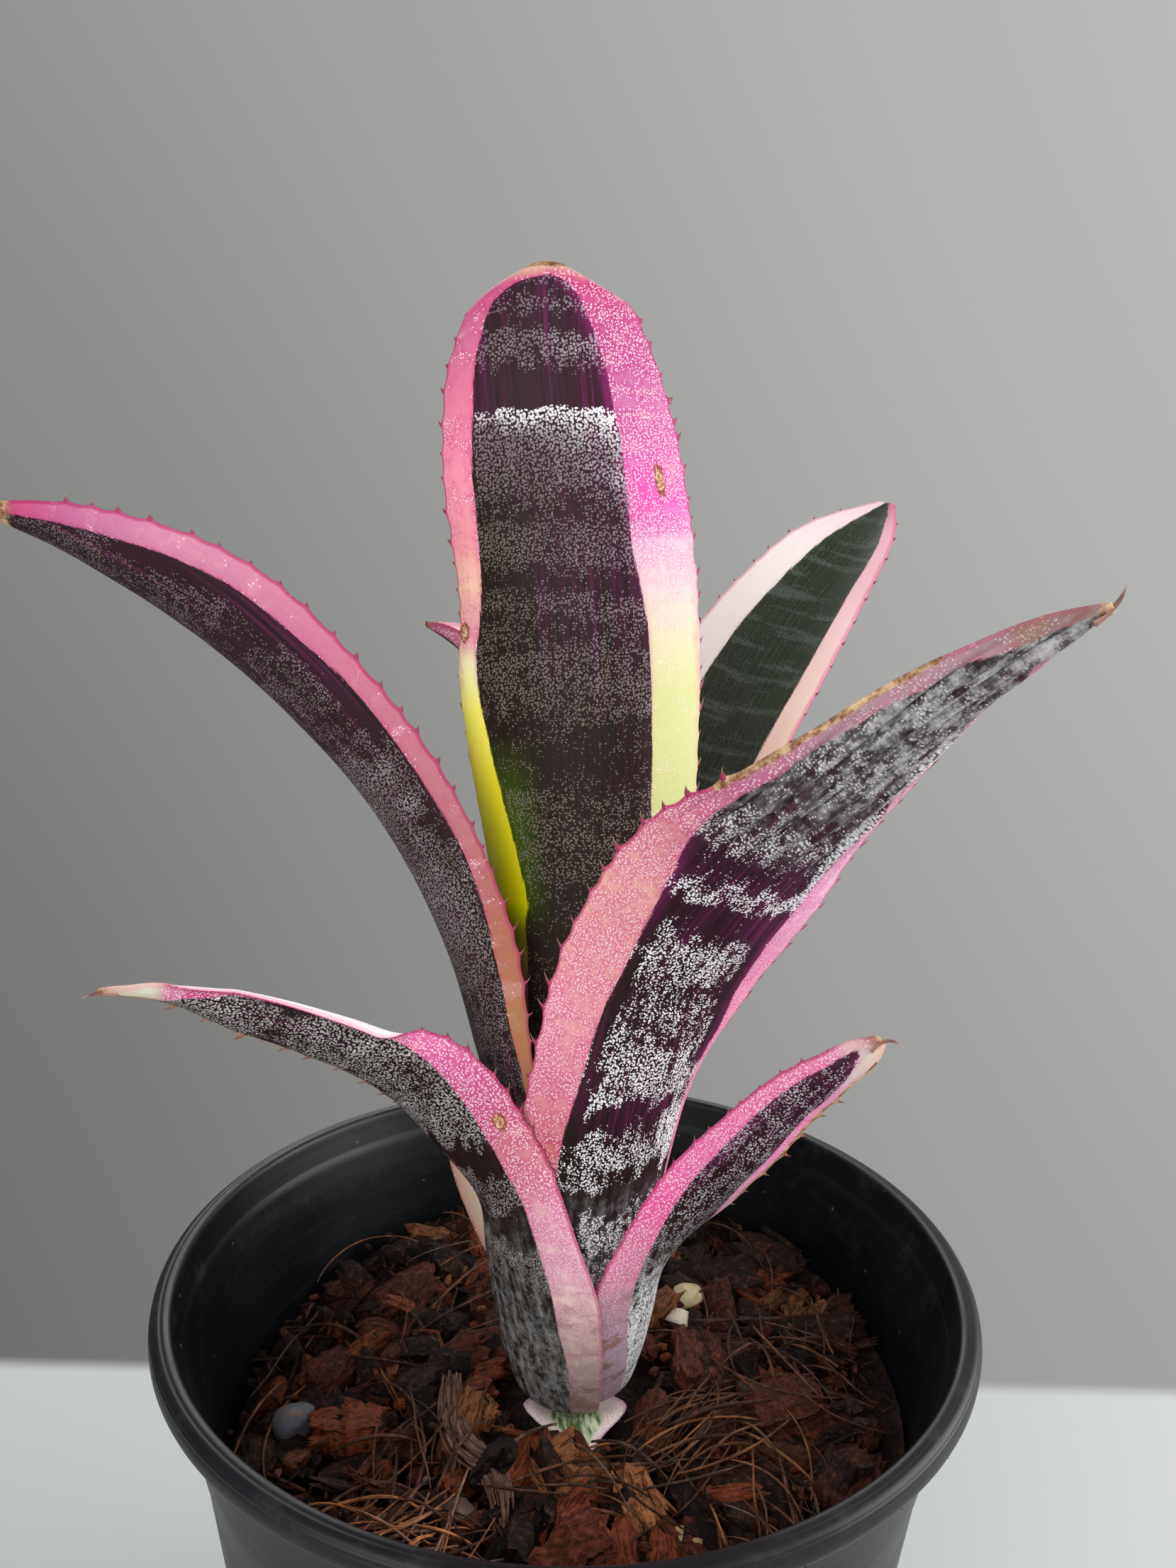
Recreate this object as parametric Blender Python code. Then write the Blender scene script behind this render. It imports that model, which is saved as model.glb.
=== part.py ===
"""A potted aechmea: black nursery pot, bark mix, a short stem and its rosette of leaves."""
import math

import bpy
import numpy as np

MM = 0.001

# Pot, in millimetres.
POT_HEIGHT = 125.0
RIM_RADIUS = 75.0
RIM_INNER_RADIUS = 71.1
POT_FOOT_RADIUS = 53.0
POT_SIDES = 56

# Settled bark mix.
BED_FLOOR = 2.8
BED_HEIGHT = 94.5
BED_SLOPE_X = 0.06
BED_SLOPE_Y = 0.12
BED_EDGE_DROP = 2.0
GAP = 0.3

# Stem and leaf sheaths share this axis.
AXIS_X = 2.0
AXIS_Y = 0.0
STEM_RADIUS = 4.1
STEM_FOOT = 80.5
STEM_TOP = 107.5
SHEATH_THICK = 0.55
BLADE_THICK = 1.0
LEAF_COLUMNS = 9

DARK = (0.035, 0.02, 0.03)
GREEN = (0.02, 0.06, 0.03)
BARK = (0.16, 0.05, 0.02)


def clear_scene():
    for obj in list(bpy.data.objects):
        bpy.data.objects.remove(obj)


def material(name, colour, roughness):
    mat = bpy.data.materials.new(name)
    mat.use_nodes = True
    shader = mat.node_tree.nodes["Principled BSDF"]
    shader.inputs["Base Color"].default_value = (*colour, 1.0)
    shader.inputs["Roughness"].default_value = roughness
    return mat


def add_solid(name, points, faces, colour, roughness=0.6):
    mesh = bpy.data.meshes.new(name)
    mesh.from_pydata([tuple(float(c) * MM for c in p) for p in points], [], faces)
    mesh.validate()
    obj = bpy.data.objects.new(name, mesh)
    bpy.context.scene.collection.objects.link(obj)
    mesh.materials.append(material(name, colour, roughness))
    return obj


def unit(vectors):
    return vectors / np.linalg.norm(vectors, axis=-1, keepdims=True)


def smooth(knots, values, where):
    """Cubic through the values at the knots, read at each place in where."""
    step = np.diff(knots)[:, None]
    slope = np.diff(values, axis=0) / step
    tangent = np.zeros_like(values)
    tangent[1:-1] = (slope[:-1] * step[1:] + slope[1:] * step[:-1]) / (step[1:] + step[:-1])
    tangent[0] = 1.5 * slope[0] - 0.5 * tangent[1]
    tangent[-1] = 1.5 * slope[-1] - 0.5 * tangent[-2]
    k = np.clip(np.searchsorted(knots, where, side="right") - 1, 0, len(step) - 1)
    u = ((where - knots[k]) / step[k, 0])[:, None]
    low = values[k] * (1 + 2 * u) + tangent[k] * step[k] * u
    high = values[k + 1] * (3 - 2 * u) + tangent[k + 1] * step[k] * (u - 1)
    return low * (1 - u) ** 2 + high * u * u


# ---------------------------------------------------------------- pot and bed


def pot_profile():
    """Radius and height, from the underside's centre round to the inside floor's centre."""
    return [
        (POT_FOOT_RADIUS - 1.0, 0.0),
        (POT_FOOT_RADIUS, 1.0),
        (66.9, 100.0),
        (69.2, 112.0),
        (71.2, POT_HEIGHT - 5.4),
        (RIM_RADIUS - 1.0, POT_HEIGHT - 4.6),
        (RIM_RADIUS, POT_HEIGHT - 3.2),
        (RIM_RADIUS - 0.3, POT_HEIGHT - 1.0),
        (RIM_RADIUS - 1.2, POT_HEIGHT),
        (RIM_INNER_RADIUS + 0.6, POT_HEIGHT),
        (RIM_INNER_RADIUS, POT_HEIGHT - 0.8),
        (69.9, POT_HEIGHT - 6.0),
        (67.9, 112.0),
        (65.6, 100.0),
        (POT_FOOT_RADIUS - 1.2, 2.5),
    ]


def turned(name, profile, sides, colour, roughness):
    """A closed turned solid whose profile starts and ends on flat discs."""
    points = [(0.0, 0.0, profile[0][1])]
    for radius, height in profile:
        for side in range(sides):
            angle = 2 * math.pi * side / sides
            points.append((radius * math.cos(angle), radius * math.sin(angle), height))
    points.append((0.0, 0.0, profile[-1][1]))
    last = len(points) - 1
    faces = []
    for side in range(sides):
        after = (side + 1) % sides
        faces.append((0, 1 + after, 1 + side))
        for ring in range(len(profile) - 1):
            low = 1 + ring * sides
            high = low + sides
            faces.append((low + side, low + after, high + after, high + side))
        top = 1 + (len(profile) - 1) * sides
        faces.append((top + side, top + after, last))
    return add_solid(name, points, faces, colour, roughness)


def bed_height(x, y):
    edge = min(1.0, math.hypot(x, y) / 64.0)
    return BED_HEIGHT + BED_SLOPE_X * x + BED_SLOPE_Y * y - BED_EDGE_DROP * edge**2


def wall_inside(height):
    """Inside radius of the pot between its floor and the bend at 100 mm."""
    low = POT_FOOT_RADIUS - 1.2
    if height <= 100.0:
        return low + (65.6 - low) * (height - 2.5) / 97.5
    return 65.6 + (67.9 - 65.6) * (height - 100.0) / 12.0


def bark_bed():
    """The mix fills the pot, and has a round pocket where the stem stands."""
    sides = 40
    pocket = STEM_RADIUS + 0.35
    rings = []
    for radius, depth in ((pocket, STEM_FOOT - GAP), (pocket, None), (14, None), (28, None), (44, None)):
        ring = []
        for side in range(sides):
            angle = 2 * math.pi * side / sides
            x = AXIS_X * (1 - radius / 66.0) + radius * math.cos(angle)
            y = radius * math.sin(angle)
            ring.append((x, y, bed_height(x, y) if depth is None else depth))
        rings.append(ring)
    rim = []
    foot = []
    for side in range(sides):
        c = math.cos(2 * math.pi * side / sides)
        s = math.sin(2 * math.pi * side / sides)
        height = bed_height(64 * c, 64 * s)
        radius = wall_inside(height) - GAP - 0.45
        rim.append((radius * c, radius * s, height))
        radius = wall_inside(BED_FLOOR) - GAP - 0.45
        foot.append((radius * c, radius * s, BED_FLOOR))
    rings += [rim, foot]
    points = [(AXIS_X, AXIS_Y, STEM_FOOT - GAP)]
    for ring in rings:
        points += ring
    points.append((0.0, 0.0, BED_FLOOR))
    last = len(points) - 1
    faces = []
    for side in range(sides):
        after = (side + 1) % sides
        faces.append((0, 1 + side, 1 + after))
        for ring in range(len(rings) - 1):
            low = 1 + ring * sides
            high = low + sides
            faces.append((low + after, low + side, high + side, high + after))
        foot_ring = 1 + (len(rings) - 1) * sides
        faces.append((foot_ring + after, foot_ring + side, last))
    return add_solid("bark_bed", points, faces, BARK, 0.9)


def stem():
    profile = [
        (STEM_RADIUS - 0.6, STEM_FOOT),
        (STEM_RADIUS, STEM_FOOT + 1.0),
        (STEM_RADIUS, STEM_TOP - 2.5),
        (STEM_RADIUS - 1.2, STEM_TOP - 0.6),
        (1.0, STEM_TOP),
    ]
    obj = turned("stem", profile, 20, (0.28, 0.2, 0.12), 0.8)
    for vertex in obj.data.vertices:
        vertex.co.x += AXIS_X * MM
        vertex.co.y += AXIS_Y * MM
    return obj


# --------------------------------------------------------------------- leaves
#
# A leaf is a list of stations along its midrib. Each station gives x, y, z,
# half width, trough half angle, heading, roll and lean. The heading is the
# compass direction that the outer face points while the leaf stands upright.
# Lean 0 keeps a cross-section level, as in a sheath, and lean 1 squares it to
# the midrib, as in a blade.


def wrap(heading, radius, height, half_angle):
    """A sheath station that lies round the stem at this radius."""
    angle = math.radians(heading)
    x = AXIS_X + radius * math.cos(angle)
    y = AXIS_Y + radius * math.sin(angle)
    return [x, y, height, radius * math.radians(half_angle), half_angle, heading, 0, 0]


LEAVES = {
    "leaf_centre": (DARK, [
        wrap(268, 4.7, 104.6, 100),
        wrap(268, 5.9, 106.0, 105),
        wrap(268, 7.0, 112.0, 105),
        wrap(268, 8.8, 128.0, 100),
        wrap(268, 10.2, 145.0, 86),
        [3.6, -12.2, 165, 17.5, 72, 268, 0, 0.5],
        [3, -13, 195, 20.5, 68, 268, 0, 1],
        [1, -14, 225, 22.5, 60, 268, 0, 1],
        [-1.5, -14, 252, 22, 50, 268, 0, 1],
        [-5, -12, 275, 20, 42, 268, 0, 1],
        [-6.5, -9.5, 289, 16, 40, 268, 0, 1],
        [-7, -8, 296.5, 10, 40, 268, 0, 1],
        [-7, -7, 299.5, 2.5, 30, 268, 0, 1],
    ]),
    "leaf_front_right": (DARK, [
        wrap(290, 4.7, 100.6, 80),
        wrap(290, 8.4, 102.0, 80),
        wrap(290, 10.4, 108.0, 76),
        wrap(290, 12.2, 118.0, 72),
        wrap(290, 13.9, 130.0, 68),
        [7.3, -15.5, 146, 17.5, 60, 290, 0, 0.3],
        [9.5, -18.8, 165, 18, 52, 287, 0, 0.8],
        [14.5, -23.5, 186, 19, 40, 276, 0, 1],
        [25, -34, 206.5, 19, 32, 272, 0, 1],
        [37, -47, 223, 14.5, 34, 280, 0, 1],
        [50, -59, 239, 8.5, 38, 292, 0, 1],
        [57, -64, 245.5, 5, 40, 300, 0, 1],
        [62, -66, 249, 1.5, 30, 300, 0, 1],
    ]),
    "leaf_left": (DARK, [
        wrap(195, 4.7, 101.6, 80),
        wrap(195, 7.5, 103.0, 78),
        wrap(195, 9.4, 109.0, 75),
        wrap(195, 11.2, 120.0, 70),
        wrap(195, 12.7, 132.0, 64),
        [-12.2, -3.7, 147, 14.8, 58, 194, 0, 0.3],
        [-16.5, -4.2, 165, 15, 56, 192, -5, 0.8],
        [-22.5, -5.5, 188, 16, 55, 187, -20, 1],
        [-33, -7, 210, 16.5, 52, 186, -28, 1],
        [-46, -9, 227, 16.5, 50, 185, -33, 1],
        [-61, -11, 241, 16, 50, 184, -35, 1],
        [-76, -12, 250.5, 11.5, 45, 184, -32, 1],
        [-90, -13, 257, 5, 40, 184, -28, 1],
        [-96, -14, 259, 1.5, 30, 184, -28, 1],
    ]),
    "leaf_low_left": (DARK, [
        wrap(226, 4.7, 97.2, 66),
        wrap(226, 10.6, 98.7, 66),
        wrap(226, 13.2, 104.5, 64),
        wrap(226, 15.3, 114.0, 61),
        wrap(222, 17.3, 126.0, 59),
        [-13, -12.5, 139, 15.5, 54, 212, -8, 0.5],
        [-18.5, -15.5, 153, 13, 48, 206, -35, 1],
        [-25, -19, 165, 11, 42, 202, -52, 1],
        [-33, -22.5, 172, 8.5, 40, 202, -60, 1],
        [-43, -27, 178, 7, 40, 204, -62, 1],
        [-54, -32, 183.5, 5.5, 40, 204, -62, 1],
        [-64, -35.5, 187.5, 4, 40, 206, -50, 1],
        [-70.5, -38, 188.5, 1.2, 30, 208, -40, 1],
    ]),
    "leaf_low_right": (DARK, [
        wrap(335, 4.7, 98.4, 66),
        wrap(335, 9.9, 99.9, 64),
        wrap(335, 12.2, 105.5, 62),
        wrap(335, 14.1, 114.0, 60),
        wrap(335, 16.2, 125.0, 55),
        [20.8, -11.5, 136, 11.5, 50, 332, 20, 0.5],
        [26.5, -15, 146, 10, 42, 330, 45, 1],
        [32.5, -19, 155.5, 9, 38, 328, 55, 1],
        [38, -23, 165, 7.5, 38, 327, 58, 1],
        [43.5, -27, 173, 5.5, 35, 327, 58, 1],
        [47, -29, 178.5, 3, 35, 327, 58, 1],
        [48.5, -30, 181, 1, 30, 327, 50, 1],
    ]),
    "leaf_back_right": (GREEN, [
        wrap(50, 4.7, 103.6, 85),
        wrap(50, 6.4, 105.0, 85),
        wrap(50, 7.8, 111.0, 82),
        wrap(50, 9.8, 125.0, 78),
        wrap(50, 11.0, 140.0, 58),
        [12.8, 12, 157, 12, 46, 50, 0, 0.3],
        [15.5, 15, 176, 15.5, 50, 50, 0, 0.8],
        [19.5, 18.5, 198, 18, 45, 50, 0, 1],
        [26, 24, 216, 18.5, 35, 50, 0, 1],
        [35, 30, 233, 18, 28, 50, 0, 1],
        [45, 36.5, 248, 15.5, 25, 50, 0, 1],
        [55, 42, 260, 10.5, 25, 50, 0, 1],
        [62, 46, 267, 2, 20, 50, 0, 1],
    ]),
    "leaf_back_left": (GREEN, [
        wrap(146, 4.7, 102.6, 80),
        wrap(146, 6.9, 104.0, 80),
        wrap(146, 8.6, 110.0, 78),
        wrap(146, 10.6, 123.0, 64),
        wrap(147, 12.0, 138.0, 41),
        [-9.3, 7.4, 155, 9.7, 42, 146, 0, 0.3],
        [-9.8, 11, 174, 11, 42, 140, 0, 0.8],
        [-10.2, 15.5, 194, 10.5, 42, 134, 0, 1],
        [-12, 20, 215, 10, 45, 135, 0, 1],
        [-17, 25, 229, 7, 40, 145, 0, 1],
        [-24, 29, 236.5, 4, 40, 160, 0, 1],
        [-31, 32, 240, 1.2, 30, 165, 0, 1],
    ]),
    "leaf_stub": (GREEN, [
        wrap(138, 4.7, 99.6, 50),
        wrap(138, 9.1, 101.0, 46),
        wrap(138, 11.3, 106.5, 32),
        [-9.8, 10.7, 113, 4.5, 17, 139, 0, 0],
        [-14, 13.5, 121, 6.5, 24, 140, 0, 0.5],
        [-19, 17, 131, 7, 26, 140, 0, 1],
        [-22.5, 19.5, 139, 6, 28, 140, 0, 1],
    ]),
    "basal_leaf": ((0.6, 0.45, 0.42), [
        wrap(270, 4.9, 95.6, 75),
        wrap(270, 9.2, 96.2, 70),
        wrap(271, 11.8, 96.6, 62),
        [2.6, -14.2, 96.0, 6.5, 35, 272, 0, 0],
        [3, -16.6, 94.6, 2.5, 25, 272, 0, 0],
    ]),
}


def leaf_sheet(rows):
    """The leaf's middle surface as a grid of points, from the base to the tip."""
    rows = np.array(rows, dtype=float)
    knots = np.concatenate([[0.0], np.cumsum(np.linalg.norm(np.diff(rows[:, :3], axis=0), axis=1))])
    where = np.sort(np.concatenate([knots, (knots[4:-1] + knots[5:]) / 2]))
    place = smooth(knots, rows[:, :3], where)
    width, trough, heading, roll, lean = smooth(knots, rows[:, 3:], where).T
    trough, heading, roll = np.radians(trough), np.radians(heading), np.radians(roll)
    lean = np.clip(lean, 0, 1)[:, None]
    tiny = 1e-3 * knots[-1]
    along = unit(
        smooth(knots, rows[:, :3], np.minimum(where + tiny, knots[-1]))
        - smooth(knots, rows[:, :3], np.maximum(where - tiny, 0))
    )
    axis = unit((1 - lean) * np.array([0.0, 0.0, 1.0]) + lean * along)
    side = np.stack([np.sin(heading), -np.cos(heading), 0 * heading], 1)
    side = unit(side - (side * axis).sum(1, keepdims=True) * axis)
    inward = np.cross(side, axis)
    turn_cos, turn_sin = np.cos(roll)[:, None], np.sin(roll)[:, None]
    side, inward = turn_cos * side + turn_sin * inward, turn_cos * inward - turn_sin * side
    across = np.linspace(-1, 1, LEAF_COLUMNS)[None, :] * trough[:, None]
    radius = (np.maximum(width, 0.3) / trough)[:, None]
    out = (radius * np.sin(across))[..., None] * side[:, None]
    lift = (radius * (1 - np.cos(across)))[..., None] * inward[:, None]
    return place[:, None] + out + lift, where / knots[-1]


def leaf(name, colour, rows):
    sheet, share = leaf_sheet(rows)
    normal = unit(np.cross(np.gradient(sheet, axis=0), np.gradient(sheet, axis=1)))
    thick = SHEATH_THICK + (BLADE_THICK - SHEATH_THICK) * np.clip((share - 0.25) / 0.2, 0, 1)
    thick = thick[:, None, None] * normal / 2
    outer, inner = sheet + thick, sheet - thick
    count_u, count_v = sheet.shape[:2]
    points = list(outer.reshape(-1, 3)) + list(inner.reshape(-1, 3))
    shift = count_u * count_v
    faces = []
    for i in range(count_u - 1):
        for j in range(count_v - 1):
            a = i * count_v + j
            b = a + count_v
            faces.append((a, b, b + 1, a + 1))
            faces.append((shift + a, shift + a + 1, shift + b + 1, shift + b))
    low_edge = [i * count_v for i in range(count_u)]
    tip = [(count_u - 1) * count_v + j for j in range(count_v)]
    high_edge = [i * count_v + count_v - 1 for i in reversed(range(count_u))]
    base = list(reversed(range(count_v)))
    border = low_edge[:-1] + tip[:-1] + high_edge[:-1] + base[:-1]
    for k, here in enumerate(border):
        after = border[(k + 1) % len(border)]
        faces.append((after, here, shift + here, shift + after))
    return add_solid(name, points, faces, colour, 0.45)


# ------------------------------------------------- pieces that lie on the bed


def bed_frame(x, y, turn):
    """A point just over the bed at x, y, with two directions along it and one out of it."""
    up = unit(np.array([-BED_SLOPE_X, -BED_SLOPE_Y, 1.0]))
    ahead = np.array([math.cos(turn), math.sin(turn), 0.0])
    ahead = unit(ahead - up * (ahead @ up))
    aside = np.cross(up, ahead)
    return np.array([x, y, bed_height(x, y)]), ahead, aside, up


def chip(name, spot, size, turn, colour):
    """A split block of bark: six uneven sides, with a smaller, slanting top."""
    origin, ahead, aside, up = bed_frame(spot[0], spot[1], math.radians(turn))
    length, breadth, height = size
    outline = [(0.5, 0.12), (0.3, 0.46), (-0.22, 0.5), (-0.5, 0.2), (-0.42, -0.4), (0.12, -0.5)]
    points = []
    for scale, level, slant in ((0.9, 0.0, 0.0), (1.0, 0.45, 0.1), (0.72, 1.0, -0.18)):
        for a, b in outline:
            rise = GAP + 0.15 + height * level * (1 + slant * a)
            flat = ahead * a * length * scale + aside * b * breadth * scale
            points.append(origin + flat + up * rise)
    faces = [tuple(reversed(range(6))), tuple(range(12, 18))]
    for ring in (0, 6):
        for k in range(6):
            after = (k + 1) % 6
            faces.append((ring + k, ring + after, ring + 6 + after, ring + 6 + k))
    return add_solid(name, points, faces, colour, 0.85)


def stone(name, spot, size, turn, colour):
    """A rounded pebble with its lowest point just over the bed."""
    origin, ahead, aside, up = bed_frame(spot[0], spot[1], math.radians(turn))
    length, breadth, height = size
    rings = [(0.55, -0.42), (0.93, -0.2), (1.0, 0.1), (0.7, 0.38)]
    sides = 10
    points = [origin + up * (GAP + 0.15)]
    for scale, level in rings:
        for k in range(sides):
            angle = 2 * math.pi * k / sides
            bulge = 1 + 0.08 * math.cos(3 * angle + turn)
            flat = ahead * math.cos(angle) * length / 2 + aside * math.sin(angle) * breadth / 2
            points.append(origin + flat * scale * bulge + up * (GAP + 0.15 + height * (level + 0.5)))
    points.append(origin + up * (GAP + 0.15 + height))
    last = len(points) - 1
    faces = []
    for k in range(sides):
        after = (k + 1) % sides
        faces.append((0, 1 + after, 1 + k))
        for ring in range(len(rings) - 1):
            low = 1 + ring * sides
            faces.append((low + k, low + after, low + sides + after, low + sides + k))
        top = 1 + (len(rings) - 1) * sides
        faces.append((top + k, top + after, last))
    return add_solid(name, points, faces, colour, 0.7)


def strip(name, route, breadth, height, colour):
    """A flat length that follows the bed through the route's points."""
    route = np.array(route, dtype=float)
    knots = np.concatenate([[0.0], np.cumsum(np.linalg.norm(np.diff(route, axis=0), axis=1))])
    count = 3 * len(route)
    path = smooth(knots, route, np.linspace(0, knots[-1], count))
    along = unit(np.gradient(path, axis=0))
    points = []
    for k, (x, y) in enumerate(path):
        taper = 0.35 + 0.65 * math.sin(math.pi * (k + 0.5) / count)
        aside = np.array([-along[k][1], along[k][0], 0.0]) * breadth * taper / 2
        lowest = np.array([x, y, bed_height(x, y) + GAP + 0.15])
        rise = np.array([0, 0, height * (0.6 + 0.4 * taper)])
        points += [lowest - aside * 0.7, lowest + aside * 0.7]
        points += [lowest + aside + rise * 0.6, lowest + rise, lowest - aside + rise * 0.6]
    faces = [(4, 3, 2, 1, 0)]
    for k in range(count - 1):
        low = 5 * k
        for j in range(5):
            after = (j + 1) % 5
            faces.append((low + j, low + after, low + 5 + after, low + 5 + j))
    end = 5 * (count - 1)
    faces.append((end, end + 1, end + 2, end + 3, end + 4))
    return add_solid(name, points, faces, colour, 0.85)


RED_BARK = (0.2, 0.06, 0.03)
TAN_BARK = (0.4, 0.2, 0.09)
DARK_BARK = (0.09, 0.035, 0.02)

CHIPS = {
    "chip_01": ((-40, -10), (13, 8, 6), 15, RED_BARK),
    "chip_02": ((-47, 4), (11, 8, 6), 70, RED_BARK),
    "chip_03": ((-15.5, -7), (6, 5, 4.5), 40, TAN_BARK),
    "chip_04": ((13, -27), (12, 7, 5), 110, TAN_BARK),
    "chip_05": ((26, 4), (14, 10, 6), 80, RED_BARK),
    "chip_06": ((42, -8), (13, 10, 6), 20, RED_BARK),
    "chip_07": ((50, -24), (12, 9, 6), 60, RED_BARK),
    "chip_08": ((2, -38), (14, 11, 7), 30, RED_BARK),
    "chip_09": ((-9, -50), (12, 9, 6), 150, DARK_BARK),
    "chip_10": ((-35, 26), (13, 9, 6), 35, RED_BARK),
    "chip_11": ((-18, 42), (13, 9, 7), 95, RED_BARK),
    "chip_12": ((8, 48), (14, 10, 6), 10, RED_BARK),
    "chip_13": ((44, 34), (13, 10, 6), 130, DARK_BARK),
    "chip_14": ((28, -44), (13, 9, 6), 165, RED_BARK),
    "chip_15": ((-36, -36), (13, 9, 6), 55, DARK_BARK),
    "chip_16": ((-56, -14), (10, 7, 5), 100, DARK_BARK),
}

STONES = {
    "stone_grey": ((-51, -7.5), (8.5, 7, 6), 25, (0.16, 0.16, 0.17)),
    "stone_pale_01": ((25, 22), (7, 6, 5), 10, (0.62, 0.55, 0.4)),
    "stone_pale_02": ((23, 15.5), (6, 5, 4), 60, (0.66, 0.62, 0.54)),
    "stone_yellow": ((21, -34), (7, 5, 4), 0, (0.6, 0.5, 0.3)),
    "stone_round": ((-17.5, -29), (6, 6, 5.5), 0, (0.13, 0.1, 0.08)),
}

STRIPS = {
    "bark_strip": ([(-22, 1), (-21, -8), (-18.5, -16), (-12.5, -22), (-9.5, -34)], 4.0, 1.4, DARK_BARK),
    "fibre_01": ([(-34, -21), (-28, -24), (-23.5, -32), (-22, -42)], 1.6, 1.2, TAN_BARK),
    "fibre_02": ([(20, -18), (28, -19), (37, -23), (42, -31)], 1.6, 1.2, TAN_BARK),
    "fibre_03": ([(37, 8), (45, 14), (52, 20), (54, 29)], 1.6, 1.2, TAN_BARK),
}


def build():
    clear_scene()
    turned("pot", pot_profile(), POT_SIDES, (0.02, 0.021, 0.024), 0.4)
    bark_bed()
    stem()
    for name, (colour, rows) in LEAVES.items():
        leaf(name, colour, rows)
    for name, (spot, size, turn, colour) in CHIPS.items():
        chip(name, spot, size, turn, colour)
    for name, (spot, size, turn, colour) in STONES.items():
        stone(name, spot, size, turn, colour)
    for name, (route, breadth, height, colour) in STRIPS.items():
        strip(name, route, breadth, height, colour)


build()
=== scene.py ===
"""Looks for a potted aechmea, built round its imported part."""

import math

import bpy
import numpy as np
from mathutils import Matrix, Vector, noise


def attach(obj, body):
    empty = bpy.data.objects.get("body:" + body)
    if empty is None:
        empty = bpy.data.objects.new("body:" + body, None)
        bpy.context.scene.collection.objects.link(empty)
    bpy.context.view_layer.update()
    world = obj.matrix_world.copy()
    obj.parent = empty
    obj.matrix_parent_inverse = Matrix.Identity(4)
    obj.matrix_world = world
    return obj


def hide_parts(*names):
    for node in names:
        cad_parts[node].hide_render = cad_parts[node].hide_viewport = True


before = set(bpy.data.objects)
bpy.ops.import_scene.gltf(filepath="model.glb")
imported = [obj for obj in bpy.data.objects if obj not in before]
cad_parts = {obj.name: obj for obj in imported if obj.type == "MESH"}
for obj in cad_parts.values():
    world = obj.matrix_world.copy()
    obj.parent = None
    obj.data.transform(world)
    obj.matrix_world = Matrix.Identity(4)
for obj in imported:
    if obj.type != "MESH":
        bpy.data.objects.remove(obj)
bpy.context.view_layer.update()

MM = 0.001
FULL_TURN = 2 * math.pi


# ------------------------------------------------------------------ colours


def tone(red, green, blue):
    """A colour given as 0-255 display values, as linear light."""
    display = np.array([red, green, blue]) / 255
    return np.where(display <= 0.04045, display / 12.92, ((display + 0.055) / 1.055) ** 2.4)


ROSE = tone(232, 135, 176)
PINK = tone(246, 158, 200)
MAGENTA = tone(236, 110, 186)
CRIMSON = tone(200, 84, 130)
BLUSH = tone(246, 212, 222)
SALMON = tone(222, 150, 158)
PEACH = tone(244, 200, 170)
CREAM = tone(238, 233, 180)
LEMON = tone(249, 238, 104)
LIME = tone(204, 198, 6)
OLIVE = tone(108, 111, 10)
TAN = tone(178, 129, 98)
DUSK = tone(120, 70, 55)
LILAC = tone(176, 140, 165)
ASH = tone(112, 108, 112)
CHALK = tone(245, 236, 232)
STRAW = tone(226, 205, 165)
RUST = tone(150, 92, 52)


# ------------------------------------------------------------ shader wiring


class Value:
    """A number or colour inside a material, which takes part in arithmetic."""

    def __init__(self, paint, socket):
        self.paint = paint
        self.socket = socket

    def _maths(self, operation, *values):
        return self.paint.node("Math", {"operation": operation}, dict(enumerate(values)))

    def __add__(self, other):
        return self._maths("ADD", self, other)

    def __radd__(self, other):
        return self._maths("ADD", other, self)

    def __sub__(self, other):
        return self._maths("SUBTRACT", self, other)

    def __rsub__(self, other):
        return self._maths("SUBTRACT", other, self)

    def __mul__(self, other):
        return self._maths("MULTIPLY", self, other)

    def __rmul__(self, other):
        return self._maths("MULTIPLY", other, self)

    def __truediv__(self, other):
        return self._maths("DIVIDE", self, other)

    def __lt__(self, other):
        return self._maths("LESS_THAN", self, other)

    def size(self):
        return self._maths("ABSOLUTE", self)

    def least(self, other):
        return self._maths("MINIMUM", self, other)

    def most(self, other):
        return self._maths("MAXIMUM", self, other)

    def step(self, low, high):
        """0 below low and 1 above high, with a smooth change between them."""
        settings = {"interpolation_type": "SMOOTHSTEP", "clamp": True}
        return self.paint.node("MapRange", settings, {0: self, 1: low, 2: high, 3: 0.0, 4: 1.0})

    def pick(self, low, high):
        """The colour low where this is 0, and high where it is 1, from the Mix node's colour sockets."""
        settings = {"data_type": "RGBA", "clamp_factor": True}
        return self.paint.node("Mix", settings, {0: self, 6: low, 7: high}, 2)

    def fraction(self):
        return self._maths("FRACT", self)

    def split(self):
        """The three parts of this vector or colour."""
        parts = self.paint.node("SeparateXYZ", {}, {0: self})
        return [parts.sister(output) for output in "XYZ"]

    def sister(self, output):
        """Another output of the node that gives this value."""
        return Value(self.paint, self.socket.node.outputs[output])


class Wiring:
    """The nodes of a material or of the world."""

    def __init__(self, tree):
        self.tree = tree

    def node(self, kind, settings, inputs, output=0):
        made = self.tree.nodes.new("ShaderNode" + kind)
        for key, setting in settings.items():
            setattr(made, key, setting)
        for key, value in inputs.items():
            self.join(made.inputs[key], value)
        return Value(self, made.outputs[output])

    def join(self, socket, value):
        if isinstance(value, Value):
            self.tree.links.new(value.socket, socket)
        elif socket.type == "RGBA":
            socket.default_value = (*value[:3], 1.0)
        else:
            socket.default_value = value

    def vector(self, x, y, z=0.0):
        return self.node("CombineXYZ", {}, {0: x, 1: y, 2: z})


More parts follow.
